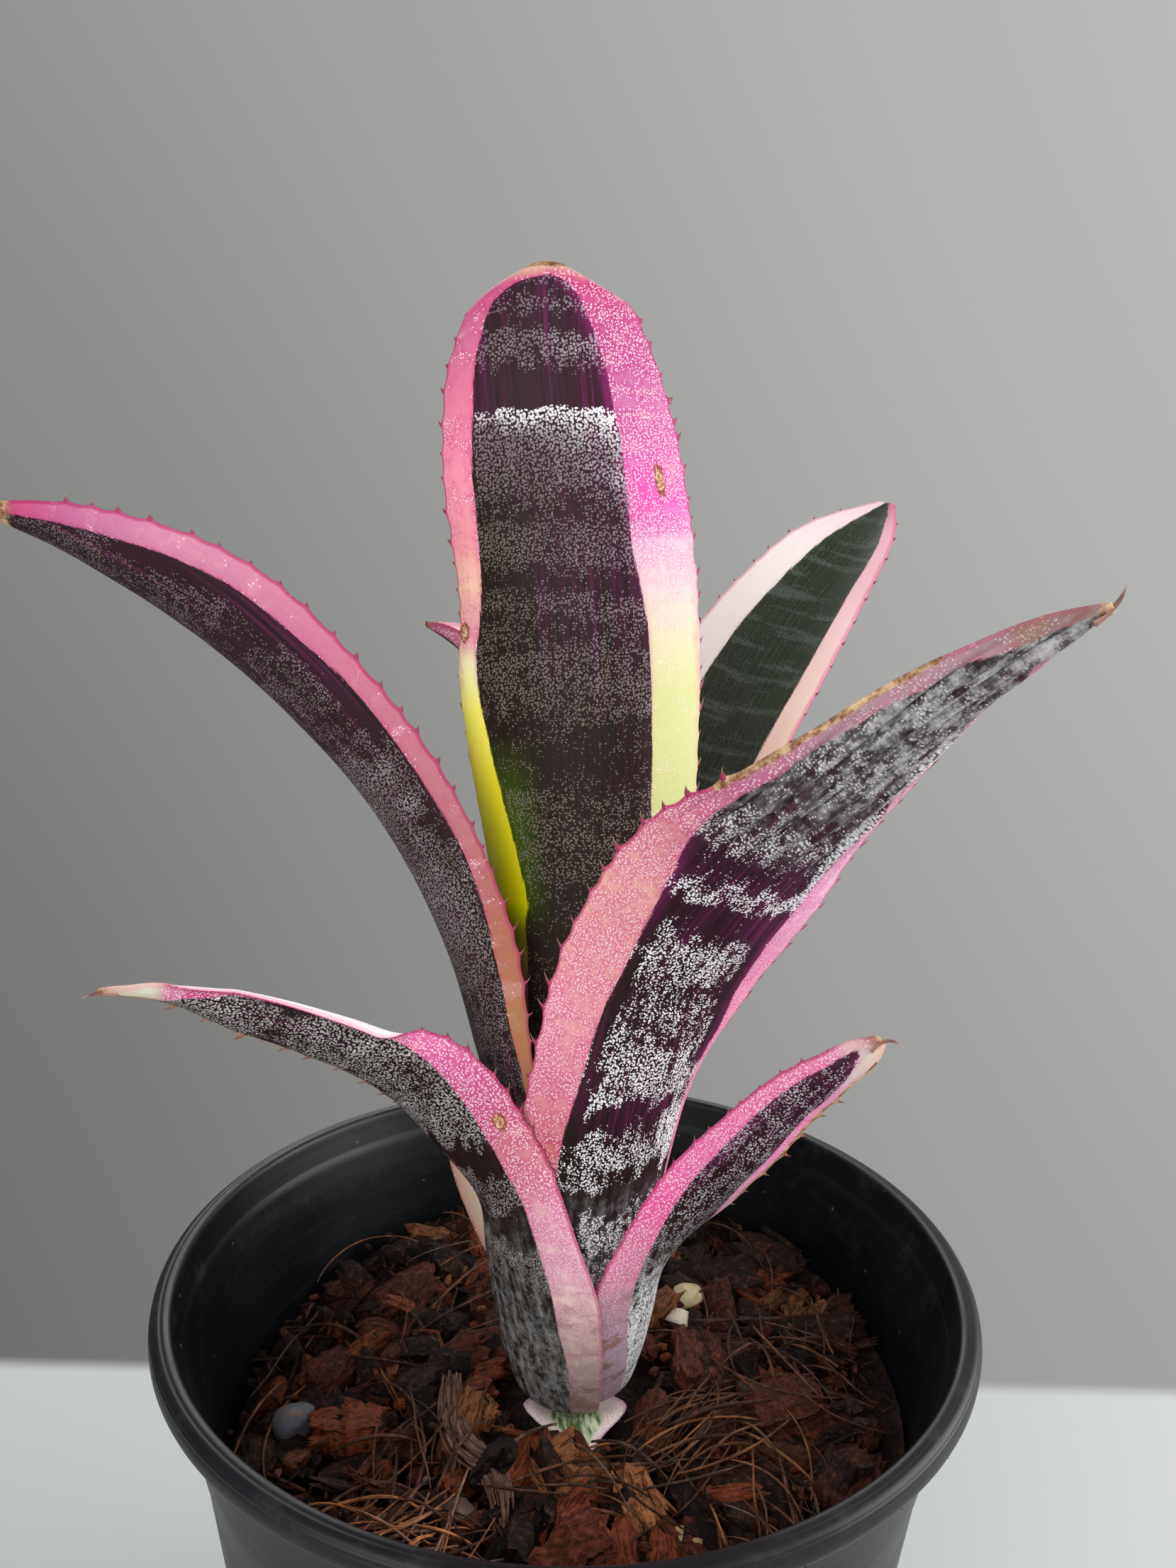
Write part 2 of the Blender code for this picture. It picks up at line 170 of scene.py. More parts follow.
class Paint(Wiring):
    """A material that is being put together."""

    def __init__(self, name, **shader_values):
        self.material = bpy.data.materials.new(name)
        self.material.use_nodes = True
        super().__init__(self.material.node_tree)
        self.shader = self.tree.nodes["Principled BSDF"]
        self.finish(**shader_values)

    def layer(self, name):
        """What the mesh says at each point: see the layers of its shell."""
        settings = {"attribute_type": "GEOMETRY", "attribute_name": name}
        return self.node("Attribute", settings, {}, "Vector")

    def spot(self):
        """The place on the object, in metres."""
        return self.node("TexCoord", {}, {}, "Object")

    def blend_colours(self, way, low, high, share=1.0):
        return self.node("Mix", {"data_type": "RGBA", "blend_type": way}, {0: share, 6: low, 7: high}, 2)

    def noise(self, vector, scale=1.0, detail=2.0, rough=0.5, twist=0.0):
        inputs = {"Vector": vector, "Scale": scale, "Detail": detail}
        inputs |= {"Roughness": rough, "Distortion": twist}
        return self.node("TexNoise", {"noise_dimensions": "3D"}, inputs)

    def grain(self, place, detail, rough=0.6, twist=0.0):
        """Noise at a place that is given as two or three numbers."""
        return self.noise(self.vector(*place), 1.0, detail, rough, twist)

    def cells(self, vector, flat=True):
        """Distance to the nearest cell centre, and that cell's own random number."""
        settings = {"voronoi_dimensions": "2D" if flat else "3D", "feature": "F1"}
        inputs = {"Vector": vector, "Scale": 1.0, "Randomness": 1.0}
        distance = self.node("TexVoronoi", settings, inputs)
        return distance, distance.sister("Color").split()[0]

    def bump(self, height, depth, strength=1.0):
        """A surface that rises with height, by up to this depth in millimetres."""
        inputs = {"Height": height, "Distance": depth * MM, "Strength": strength}
        return self.node("Bump", {}, inputs)

    def finish(self, **values):
        """Joins values to the shader's sockets, which are named with _ for each space."""
        for socket, value in values.items():
            self.join(self.shader.inputs[socket.replace("_", " ")], value)
        return self.material


# -------------------------------------------------------------- mesh making


def unit(vectors):
    return vectors / (np.linalg.norm(vectors, axis=-1, keepdims=True) + 1e-12)


def enclosed(points, blocks):
    """Six times the volume inside these faces, below zero when they face inward."""
    centred = points - points.mean(axis=0)
    total = 0.0
    for block in blocks:
        corners = centred[block].swapaxes(0, 1)
        for low, high in zip(corners[1:-1], corners[2:]):
            total += (corners[0] * np.cross(low, high)).sum()
    return total


class Shell:
    """Points, faces and painted layers of one piece, gathered part by part."""

    def __init__(self, *layers):
        self.points = []
        self.faces = []
        self.paints = []
        self.layers = {name: [] for name in layers}
        self.count = 0

    def add(self, points, blocks, paint=0, **layers):
        """Adds a closed part; paint is one material number, or an array for each block of faces."""
        points = np.asarray(points, float)
        self.points.append(points)
        blocks = [np.asarray(block, int) for block in blocks]
        outward_step = 1 if enclosed(points, blocks) > 0 else -1
        for number, block in enumerate(blocks):
            block = block[:, ::outward_step]
            self.faces.append(block + self.count)
            self.paints.append(np.full(len(block), paint) if np.isscalar(paint) else paint[number])
        for name, gathered in self.layers.items():
            value = np.asarray(layers.get(name, (0.0, 0.0, 0.0)), float)
            gathered.append(np.broadcast_to(value, points.shape).copy())
        self.count += len(points)

    def build(self, name, materials, replaced=(), rounded=True):
        points = np.concatenate(self.points) * MM
        corners = np.concatenate([block.ravel() for block in self.faces])
        sizes = np.concatenate([np.full(len(block), block.shape[1]) for block in self.faces])
        mesh = bpy.data.meshes.new(name)
        mesh.vertices.add(len(points))
        mesh.vertices.foreach_set("co", points.ravel())
        mesh.loops.add(len(corners))
        mesh.loops.foreach_set("vertex_index", corners)
        mesh.polygons.add(len(sizes))
        mesh.polygons.foreach_set("loop_start", np.cumsum(sizes) - sizes)
        mesh.polygons.foreach_set("loop_total", sizes)
        mesh.polygons.foreach_set("material_index", np.concatenate(self.paints))
        mesh.polygons.foreach_set("use_smooth", np.full(len(sizes), rounded))
        mesh.update(calc_edges=True)
        mesh.validate()
        for layer, gathered in self.layers.items():
            attribute = mesh.attributes.new(layer, "FLOAT_VECTOR", "POINT")
            attribute.data.foreach_set("vector", np.concatenate(gathered).ravel())
        for material in materials:
            mesh.materials.append(material)
        piece = bpy.data.objects.new(name, mesh)
        bpy.context.scene.collection.objects.link(piece)
        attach(piece, "root")
        if replaced:
            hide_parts(*replaced)
        return piece


def band(count, sides):
    """Quads that join count rings of the same number of points."""
    here = np.arange(sides)
    after = (here + 1) % sides
    low = (np.arange(count - 1) * sides)[:, None]
    quads = np.stack([low + here, low + after, low + sides + after, low + sides + here], -1)
    return quads.reshape(-1, 4)


def fan(centre, ring, flip=False):
    """Triangles from a centre point to a ring of points."""
    ring = np.asarray(ring)
    after = np.roll(ring, -1)
    if flip:
        ring, after = after, ring
    return np.stack([np.full(len(ring), centre), ring, after], -1)


def tube(rings, sides, foot=0, head=1):
    """Faces of a closed tube; the middles of its two ends come after its rings, in this order."""
    last = rings * sides
    foot_cap = fan(last + foot, range(sides), True)
    head_cap = fan(last + head, range(last - sides, last))
    return [band(rings, sides), np.concatenate([foot_cap, head_cap])]


def turned(sides):
    """The angles of this many points round a ring."""
    return np.arange(sides) * FULL_TURN / sides


def lengths_along(path):
    """The length of a path of points up to each of them."""
    return np.concatenate([[0.0], np.cumsum(np.linalg.norm(np.diff(path, axis=0), axis=1))])


def smooth(knots, values, where):
    """Cubic through the values at the knots, read at each place in where."""
    step = np.diff(knots)[:, None]
    slope = np.diff(values, axis=0) / step
    tangent = np.zeros_like(values)
    tangent[1:-1] = (slope[:-1] * step[1:] + slope[1:] * step[:-1]) / (step[1:] + step[:-1])
    tangent[0] = 1.5 * slope[0] - 0.5 * tangent[1]
    tangent[-1] = 1.5 * slope[-1] - 0.5 * tangent[-2]
    k = np.clip(np.searchsorted(knots, where, side="right") - 1, 0, len(step) - 1)
    u = ((where - knots[k]) / step[k, 0])[:, None]
    low = values[k] * (1 + 2 * u) + tangent[k] * step[k] * u
    high = values[k + 1] * (3 - 2 * u) + tangent[k + 1] * step[k] * (u - 1)
    return low * (1 - u) ** 2 + high * u * u


def ease(value, low, high):
    """0 below low and 1 above high, with a smooth change between them."""
    share = np.clip((value - low) / (high - low), 0, 1)
    return share * share * (3 - 2 * share)


def ripple(points, length, seed, octaves=2):
    """Smooth random height, about -1 to 1, with lumps of this length."""
    shift = Vector((seed * 7.31, seed * 3.17, seed * 1.93))
    flat = np.asarray(points, float).reshape(-1, 3) / length
    heights = [noise.fractal(Vector(p) + shift, 1.0, 2.0, octaves) for p in flat]
    return np.array(heights).reshape(np.shape(points)[:-1])


# ------------------------------------------------------------ leaf materials


SCALE_PITCH = 0.47
SCALE_ROW = 0.42


def scale_dots(paint, place, cover, size):
    """Leaf scales in a loose grid; cover says how many cells hold one, and size how big it is."""
    along, across, seed = place
    grid = paint.vector(along / SCALE_PITCH + seed * 13.7, across / SCALE_ROW + seed * 5.1)
    distance, number = paint.cells(grid)
    held = (cover + (number - 0.5) * 0.5).step(-0.06, 0.06)
    return (size - distance).step(-0.06, 0.07) * held * (0.65 + 0.35 * (number * 37.0).fraction())


def leaf_outer_paint():
    """The outer face: a dark middle under silver scales, between pale margins."""
    paint = Paint("leaf_outer", Specular_IOR_Level=0.12)
    along, across, seed = paint.layer("place").split()
    inside, silver, dry = paint.layer("zone").split()
    wound, edge, glow = paint.layer("mark").split()
    whiteness_and_glint, purple, frost = paint.layer("kind").split()
    rim_colour = paint.layer("tint")

    # Long faint streaks follow the veins.
    veins = paint.grain((along * 0.025, across * 1.1, seed * 3.0), 3.0)
    fine_veins = paint.grain((along * 0.07, across * 4.2, seed), 2.0)
    streaks = paint.grain((along * 0.1, across * 0.75, seed * 4.0), 4.0, 0.65)
    cloud = paint.grain((along * 0.3, across * 0.13, seed * 2.0), 4.0, 0.62)
    mottle = paint.grain((along * 0.45, across * 0.5, seed * 5.0), 4.0, 0.68)
    grit = paint.grain((along * 1.6, across * 1.6, seed), 2.0)

    # Dark middle of the blade.
    streak = (veins + (purple - 0.5) * 0.5).step(0.36, 0.62)
    dark = streak.pick(tone(39, 29, 24), tone(56, 28, 41))
    dark = (fine_veins.step(0.4, 0.75) * 0.65).pick(dark, tone(13, 10, 10))
    bright_streak = (veins + (fine_veins - 0.5) * 0.3 + purple * 0.2).step(0.66, 0.82) * purple
    dark = (bright_streak * 0.75).pick(dark, tone(112, 34, 84))
    # Painted backlight: yellow-green where light shines through the left side of the blade.
    dark = (glow * (0.8 + 0.8 * (veins - 0.5))).pick(dark, tone(62, 88, 0))
    haze = mottle * 0.55 + streaks * 0.45
    near_margin = (2.2 - inside + (fine_veins - 0.5) * 4.0).step(0.0, 2.2)
    spill = near_margin * (purple * 2.0 - 0.9).step(0.0, 1.0)
    dark = (spill * 0.55).pick(dark, tone(134, 34, 98))
    hoar = frost * (0.1 + 1.1 * (haze - 0.36).step(0.0, 0.26))
    # The bloom under the scales is painted whiter on the lit parts: a painted highlight.
    bloom = whiteness_and_glint.pick(tone(146, 150, 148), tone(236, 234, 238))
    hoar_colour = haze.step(0.36, 0.66).pick(tone(62, 62, 56), bloom)
    dark = hoar.pick(dark, hoar_colour)

    # Silver scales over it, whiter and merged into bigger patches where a painted highlight lies on them.
    patches = (mottle - 0.5) * (1.5 + 1.7 * whiteness_and_glint)
    patches = patches + (cloud - 0.5) * 1.5 + (streaks - 0.5) * (0.9 + 1.9 * whiteness_and_glint)
    cover = silver * 1.5 - 0.36 + patches * silver.step(0.0, 0.3)
    size = 0.3 + 0.1 * silver + cover.least(0.9).most(-0.4) * (0.08 + 0.1 * whiteness_and_glint)
    scales = scale_dots(paint, (along, across, seed), cover, size)
    scale_white_and_glint = whiteness_and_glint + (silver - 0.5) * 0.3 + (grit - 0.5) * 0.7 + (cloud - 0.5) * 0.6
    dim = streak.pick(tone(118, 108, 100), tone(136, 123, 131))
    scale_colour = scale_white_and_glint.step(0.2, 0.95).pick(dim, tone(252, 251, 252))
    zone_colour = (scales * 0.95).pick(dark, scale_colour)

    # Pale margin, deeper between its pale scales, beside the dark middle and at its very edge.
    red, green, blue = rim_colour.split()
    pinkness = ((red - green) * 2.6).step(0.1, 0.9)
    pale_cover = (cloud - 0.47) * 2.4 + (mottle - 0.5) * 1.6 + silver * 0.5 - 0.06 - 0.5 * (1 - pinkness)
    deep = paint.blend_colours("MULTIPLY", rim_colour, tone(238, 180, 222))
    rim = (pinkness * pale_cover.step(-0.5, 0.3)).pick(rim_colour, deep)
    rim = (fine_veins.step(0.35, 0.8) * 0.2 * pinkness).pick(rim, tone(196, 60, 112))
    near_zone = (inside + 1.2 + (fine_veins - 0.5) * 1.6).step(0.0, 1.5)
    rim = (near_zone * 0.3 * pinkness).pick(rim, tone(200, 56, 126))
    rim = ((cloud - 0.5).step(0.0, 0.2) * 0.28 * pinkness).pick(rim, tone(244, 190, 188))
    pale_dots = scale_dots(paint, (along, across, seed + 3.0), pale_cover, 0.25 + 0.12 * grit)
    rim = (pale_dots * (0.5 + 0.6 * grit)).pick(rim, tone(255, 228, 238))
    creamy = blue.step(0.22, 0.34) * (1 - pinkness)
    flush = (2.4 - edge + (mottle - 0.5) * 5.0).step(0.0, 2.2) * creamy
    rim = (flush * 0.6).pick(rim, tone(222, 158, 160))
    rim = (near_zone * 0.55 * creamy).pick(rim, tone(216, 158, 168))
    stained = frost * (cloud - 0.5 + (grit - 0.5) * 0.2).step(0.0, 0.14)
    rim = (frost * haze.step(0.34, 0.62) * 0.7).pick(rim, tone(156, 152, 152))
    rim = (stained * 0.8).pick(rim, tone(140, 106, 82))
    rim = ((0.55 - edge).step(0.0, 0.4) * 0.7 * pinkness).pick(rim, tone(170, 34, 92))

    border = inside + (fine_veins - 0.5) * 0.9 + (grit - 0.5) * 0.5
    colour = border.step(-0.16, 0.16).pick(rim, zone_colour)

    # Scars with a broken brown rim round a pale dead patch, and papery dry parts.
    scar = wound + (grit - 0.5) * 0.9 + (mottle - 0.5) * 0.8
    brown_rim = (1 - (scar - 1.0).size().step(0.05, 0.3)) * (mottle - 0.3).step(0.0, 0.2)
    colour = brown_rim.pick(colour, tone(128, 70, 30))
    dead_skin = grit.step(0.35, 0.6).pick(tone(228, 198, 154), tone(150, 98, 56))
    colour = (1 - scar.step(0.75, 0.9)).pick(colour, dead_skin)
    dead = (dry + (cloud - 0.5) * 0.5 + (grit - 0.5) * 0.3).step(0.42, 0.6)
    dead_colour = mottle.step(0.35, 0.65).pick(tone(122, 76, 50), tone(214, 180, 142))
    colour = dead.pick(colour, dead_colour)

    relief = scales * 0.35 + pale_dots * 0.2 + fine_veins * 0.5 + grit * 0.25
    rough = 0.46 + scales * 0.2 + dead * 0.3 + (grit - 0.5) * 0.14
    return paint.finish(
        Base_Color=colour,
        Roughness=rough,
        Normal=paint.bump(relief, 0.12, 0.7),
    )


def leaf_inner_paint():
    """The inner face: green and smooth, with pale margins that glow a little: painted light that stands in
    for light shining through them.
    """
    paint = Paint("leaf_inner", Specular_IOR_Level=0.4, Emission_Strength=0.14)
    along, across, seed = paint.layer("place").split()
    inside, _, dry = paint.layer("zone").split()
    edge = paint.layer("mark").split()[1]
    rim_colour = paint.layer("tint")
    veins = paint.grain((along * 0.04, across * 1.6, seed * 3.0), 3.0)
    fine_veins = paint.grain((along * 0.1, across * 4.5, seed), 2.0)
    cloud = paint.grain((along * 0.2, across * 0.2, seed), 3.0, 0.55)
    bands = paint.grain((along * 0.33, across * 0.04, seed), 2.0)
    grit = paint.grain((along * 1.6, across * 1.6, seed), 2.0)
    green = veins.step(0.3, 0.75).pick(tone(34, 40, 26), tone(58, 68, 52))
    green = (bands.step(0.5, 0.66) * 0.4).pick(green, tone(90, 98, 88))
    dots = scale_dots(paint, (along, across, seed), bands.step(0.45, 0.65) * 0.5 - 0.2, 0.3)
    green = (dots * 0.35).pick(green, tone(150, 158, 150))
    rim = (fine_veins.step(0.35, 0.8) * 0.2).pick(rim_colour, tone(220, 170, 178))
    rim = ((inside + 1.0 + (veins - 0.5) * 2.0).step(0.0, 1.4) * 0.2).pick(rim, tone(205, 160, 160))
    rim = ((0.8 - edge).step(0.0, 0.6) * 0.5).pick(rim, tone(206, 84, 122))
    border = inside + (veins - 0.5) * 1.2 + (grit - 0.5) * 0.4
    colour = border.step(-0.2, 0.2).pick(rim, green)
    dead = (dry + (cloud - 0.5) * 0.5 + (grit - 0.5) * 0.3).step(0.42, 0.6)
    colour = dead.pick(colour, grit.step(0.3, 0.7).pick(tone(138, 92, 56), tone(214, 184, 138)))
    relief = fine_veins * 0.6 + grit * 0.3
    return paint.finish(
        Base_Color=colour,
        # Painted light: the pale margins give off a little light of their own colour.
        Emission_Color=border.step(-0.2, 0.2).pick(rim, (0.0, 0.0, 0.0)),
        Roughness=0.42 + dots * 0.12 + dead * 0.3 + (grit - 0.5) * 0.12,
        Normal=paint.bump(relief, 0.1, 0.7),
    )


def horn_paint():
    """Spines and dried tips, coloured point by point along their length."""
    paint = Paint("horn", Specular_IOR_Level=0.45)
    along, across, seed = paint.layer("place").split()
    colour = paint.layer("tint")
    grain = paint.grain((along * 1.2, across * 5.0, seed), 3.0)
    mottled = (grain.step(0.35, 0.7) * 0.45).pick(colour, tone(90, 48, 34))
    return paint.finish(
        Base_Color=mottled,
        Roughness=0.38 + grain * 0.25,
        Normal=paint.bump(grain, 0.08, 0.6),
    )


def remnant_paint():
    """The torn basal leaf: white, flushed lilac at its edge, with green stripes."""
    paint = Paint("torn_leaf", Specular_IOR_Level=0.4)
    along, across, seed = paint.layer("place").split()
    inside, _, dry = paint.layer("zone").split()
    edge = paint.layer("mark").split()[1]
    stripes = paint.grain((along * 0.22, across * 1.1, seed), 3.0)
    grit = paint.grain((along * 2.0, across * 2.0, seed), 2.0)
    flesh = grit.step(0.3, 0.7).pick(tone(226, 200, 196), tone(248, 240, 232))
    flesh = ((1.6 - edge).step(0.0, 1.5) * 0.75).pick(flesh, tone(206, 150, 182))
    green = stripes.step(0.35, 0.62).pick(tone(74, 104, 48), tone(214, 226, 186))
    colour = (inside + (stripes - 0.5) * 3.0).step(-0.4, 0.6).pick(flesh, green)
    colour = (dry + (grit - 0.5) * 0.4).step(0.4, 0.6).pick(colour, tone(150, 96, 60))
    return paint.finish(
        Base_Color=colour,
        Roughness=0.4 + grit * 0.2,
        Normal=paint.bump(stripes + grit * 0.4, 0.15, 0.7),
    )


# ------------------------------------------------------------- leaf geometry
#
# A leaf is a list of stations along its midrib, as in the part. Each station
# gives x, y, z, half width, trough half angle, heading, roll and lean. In the
# other lists a share is of the leaf's length from its base, and a side is a
# place across the leaf: 1 at the left edge of the outer face and -1 at the
# right edge, tip upward. Lengths are in millimetres.
#
# narrow: how much of the half width is left, for each side
# flare: four shares, a side and how far its margin turns out
# crease: depth of the folds towards the tip
# rolled: first and last share, and the side from which the margin rolls back
# zone_left, zone_right: the borders of the dark middle
# silver, whiteness_and_glint, frost: how many silver scales there are, how white they are
#     with a painted highlight where light catches them, and how much bloom lies under them
# smooth: silver taken away from the margin, for each side
# bare: side, four shares, reach and change of silver beside the margin
# bow, slant, warp: how far the silver bands bow, slant and wander
# glint_side, purple_side: how the painted highlight on the scales and the purple fall off towards the left
# purple, glow: purple streaks, and painted light that shines yellow-green through the left side from behind
# edge_left, edge_right, lining: colours of the margins outside and inside
# dry, dry_edges: dead parts; side, four shares, first side across and amount
# wounds: share, side, half length and half width
# spines: spacing, size, first and last share, for each side
# old_side: the side whose spines have withered
# tip: the way the withered tip bends, its length and its thickness

AXIS_X = 2.0
AXIS_Y = 0.0
SHEATH_THICK = 0.55
BLADE_THICK = 1.0
EDGE_THICK = 0.42
EDGE_TAPER = 0.22
EDGE_ROUNDING = 0.16
LEAST_HALF_WIDTH = 0.3
ROLL_RADIUS = 1.25
ROLL_ANGLE = 2.7

ROW_STEP = 0.75
LEAST_ROWS = 12
COLUMNS = 47
COLUMN_CROWDING = 1.25
LEAF_SEED = 400

# Places of the three paints on every leaf.
OUTER = 0
LINING = 1
HORN = 2


def wrap(heading, radius, height, half_angle):
    """A sheath station that lies round the stem at this radius."""
    angle = math.radians(heading)
    x = AXIS_X + radius * math.cos(angle)
    y = AXIS_Y + radius * math.sin(angle)
    return [x, y, height, radius * math.radians(half_angle), half_angle, heading, 0, 0]


# What a leaf has where its own list says nothing.
PLAIN_LEAF = {
    "narrow": {},
    "flare": [],
    "crease": None,
    "rolled": None,
    "smooth": {},
    "bare": [],
    "slant": 0.0,
    "warp": 1.0,
    "glint_side": 0.0,
    "purple_side": 0.0,
    "glow": [(0, 0), (1, 0)],
    "edge_right": None,
    "lining_right": None,
    "dry_edges": [],
    "wounds": [],
    "old_side": None,
    "tip": None,
}

LEAVES = {}
LEAVES["leaf_centre"] = {
    "stations": [
        wrap(268, 4.7, 104.6, 100),
        wrap(268, 5.9, 106, 105),
        wrap(268, 7, 112, 105),
        wrap(268, 8.8, 128, 100),
        wrap(268, 10.2, 145, 86),
        [3.6, -12.2, 165, 17.5, 72, 268, 0, 0.5],
        [3, -13, 195, 20.5, 68, 268, 0, 1],
        [1, -14, 225, 22.5, 60, 268, 0, 1],
        [-1.5, -14, 252, 22, 50, 268, 0, 1],
        [-5, -12, 275, 20, 42, 268, 0, 1],
        [-6.5, -9.5, 289, 16, 40, 268, 0, 1],
        [-7, -8, 296.5, 10, 40, 268, 0, 1],
        [-7, -7, 299.5, 2.5, 30, 268, 0, 1],
    ],
    "narrow": {
        1: [
            (0, 1), (0.42, 1), (0.45, 1.16), (0.55, 1.16), (0.62, 1.11), (0.7, 1.06), (0.8, 1.04),
            (0.93, 1.06), (0.965, 1.12), (0.985, 1.2), (1, 1.3),
        ],
        -1: [(0, 1), (0.93, 1), (0.965, 1.06), (0.985, 1.16), (1, 1.3)],
    },
    "flare": [(0.36, 0.44, 0.66, 0.74, 1, 1.6)],
    "zone_left": [
        (0, 0.8), (0.3, 0.8), (0.42, 0.62), (0.466, 0.5), (0.53, 0.58), (0.6, 0.69), (0.65, 0.76),
        (0.69, 0.78), (0.74, 0.72), (0.8, 0.69), (0.847, 0.68), (0.895, 0.66), (0.935, 0.66),
        (0.958, 0.64), (0.972, 0.6), (0.984, 0.45), (0.99, -0.2), (1, -0.5),
    ],
    "zone_right": [
        (0, -0.5), (0.546, -0.47), (0.639, -0.5), (0.704, -0.5), (0.767, -0.43), (0.855, -0.48),
        (0.912, -0.46), (0.945, -0.42), (0.97, -0.34), (0.984, -0.26), (0.99, 0), (1, 0),
    ],
    "silver": [
        (0, 0.33), (0.3, 0.25), (0.4, 0.13), (0.45, 0.11), (0.475, 0.21), (0.5, 0.31), (0.53, 0.33),
        (0.56, 0.3), (0.575, 0.16), (0.6, 0.12), (0.625, 0.2), (0.645, 0.38), (0.67, 0.43),
        (0.685, 0.34), (0.7, 0.28), (0.712, 0.21), (0.722, 0.36), (0.732, 0.33), (0.742, 0.13),
        (0.752, 0.16), (0.765, 0.41), (0.785, 0.44), (0.795, 0.25), (0.808, 0.23), (0.825, 0.49),
        (0.85, 0.56), (0.866, 0.59), (0.874, 0.66), (0.8795, 0.8), (0.882, 0), (0.905, 0),
        (0.912, 0.1), (0.92, 0.33), (0.93, 0.51), (0.943, 0.51), (0.947, 0.1), (0.958, 0.05),
        (0.963, 0.36), (0.972, 0.41), (0.976, 0.08), (0.982, 0.3), (0.99, 0.33), (1, 0.08),
    ],
    "smooth": {1: 0.9},
    "bare": [(-1, 0.79, 0.83, 0.875, 0.88, 3, 0.3)],
    "bow": 0.3,
    "slant": -2.4,
    "warp": 1.2,
    "whiteness_and_glint": [
        (0, 0.05), (0.78, 0.1), (0.84, 0.22), (0.862, 0.36), (0.874, 0.75), (0.879, 1), (0.884, 0.9),
        (0.89, 0.35), (0.93, 0.3), (1, 0.3),
    ],
    "glint_side": 0.36,
    "purple": [(0, 0.2), (0.5, 0.1), (0.62, 0.2), (0.7, 0.36), (0.8, 0.5), (0.88, 0.85), (1, 0.8)],
    "purple_side": 0.45,
    "frost": [(0, 0.9), (0.2, 0.3), (0.32, 0)],
    # The glow, and the yellow-green of the left margin from 0.44 to 0.68, are painted light shining through
    # the margin from behind.
    "glow": [(0.44, 0), (0.48, 1), (0.56, 0.85), (0.62, 0)],
    "edge_left": [
        (0, ASH), (0.39, DUSK), (0.44, OLIVE), (0.465, LIME), (0.52, tone(222, 210, 24)),
        (0.57, tone(236, 222, 40)), (0.64, LEMON), (0.68, CREAM), (0.705, SALMON), (0.75, PEACH),
        (0.79, tone(240, 156, 166)), (0.85, tone(240, 147, 170)), (0.9, tone(228, 127, 156)),
        (0.95, tone(206, 110, 146)), (0.985, CRIMSON), (1, STRAW),
    ],
    "edge_right": [
        (0, ASH), (0.45, TAN), (0.55, tone(201, 203, 138)), (0.65, tone(209, 209, 148)),
        (0.69, tone(220, 211, 174)), (0.73, tone(228, 204, 200)), (0.77, tone(228, 194, 207)),
        (0.785, tone(222, 143, 192)), (0.795, MAGENTA), (0.815, MAGENTA), (0.85, tone(214, 133, 179)),
        (0.9, tone(197, 115, 160)), (0.95, tone(191, 99, 145)), (0.985, CRIMSON), (1, STRAW),
    ],
    "lining": [(0, ASH), (0.3, LILAC), (0.5, CHALK), (0.8, CHALK), (0.93, BLUSH), (1, ROSE)],
    "dry": [(0.99, 0), (1, 0.9)],
    "wounds": [(0.817, -0.74, 2.6, 0.8), (0.708, 0.92, 1.6, 1.3)],
    "spines": {1: (4.6, 1.5, 0.3, 0.985), -1: (4.3, 1.75, 0.36, 0.985)},
}

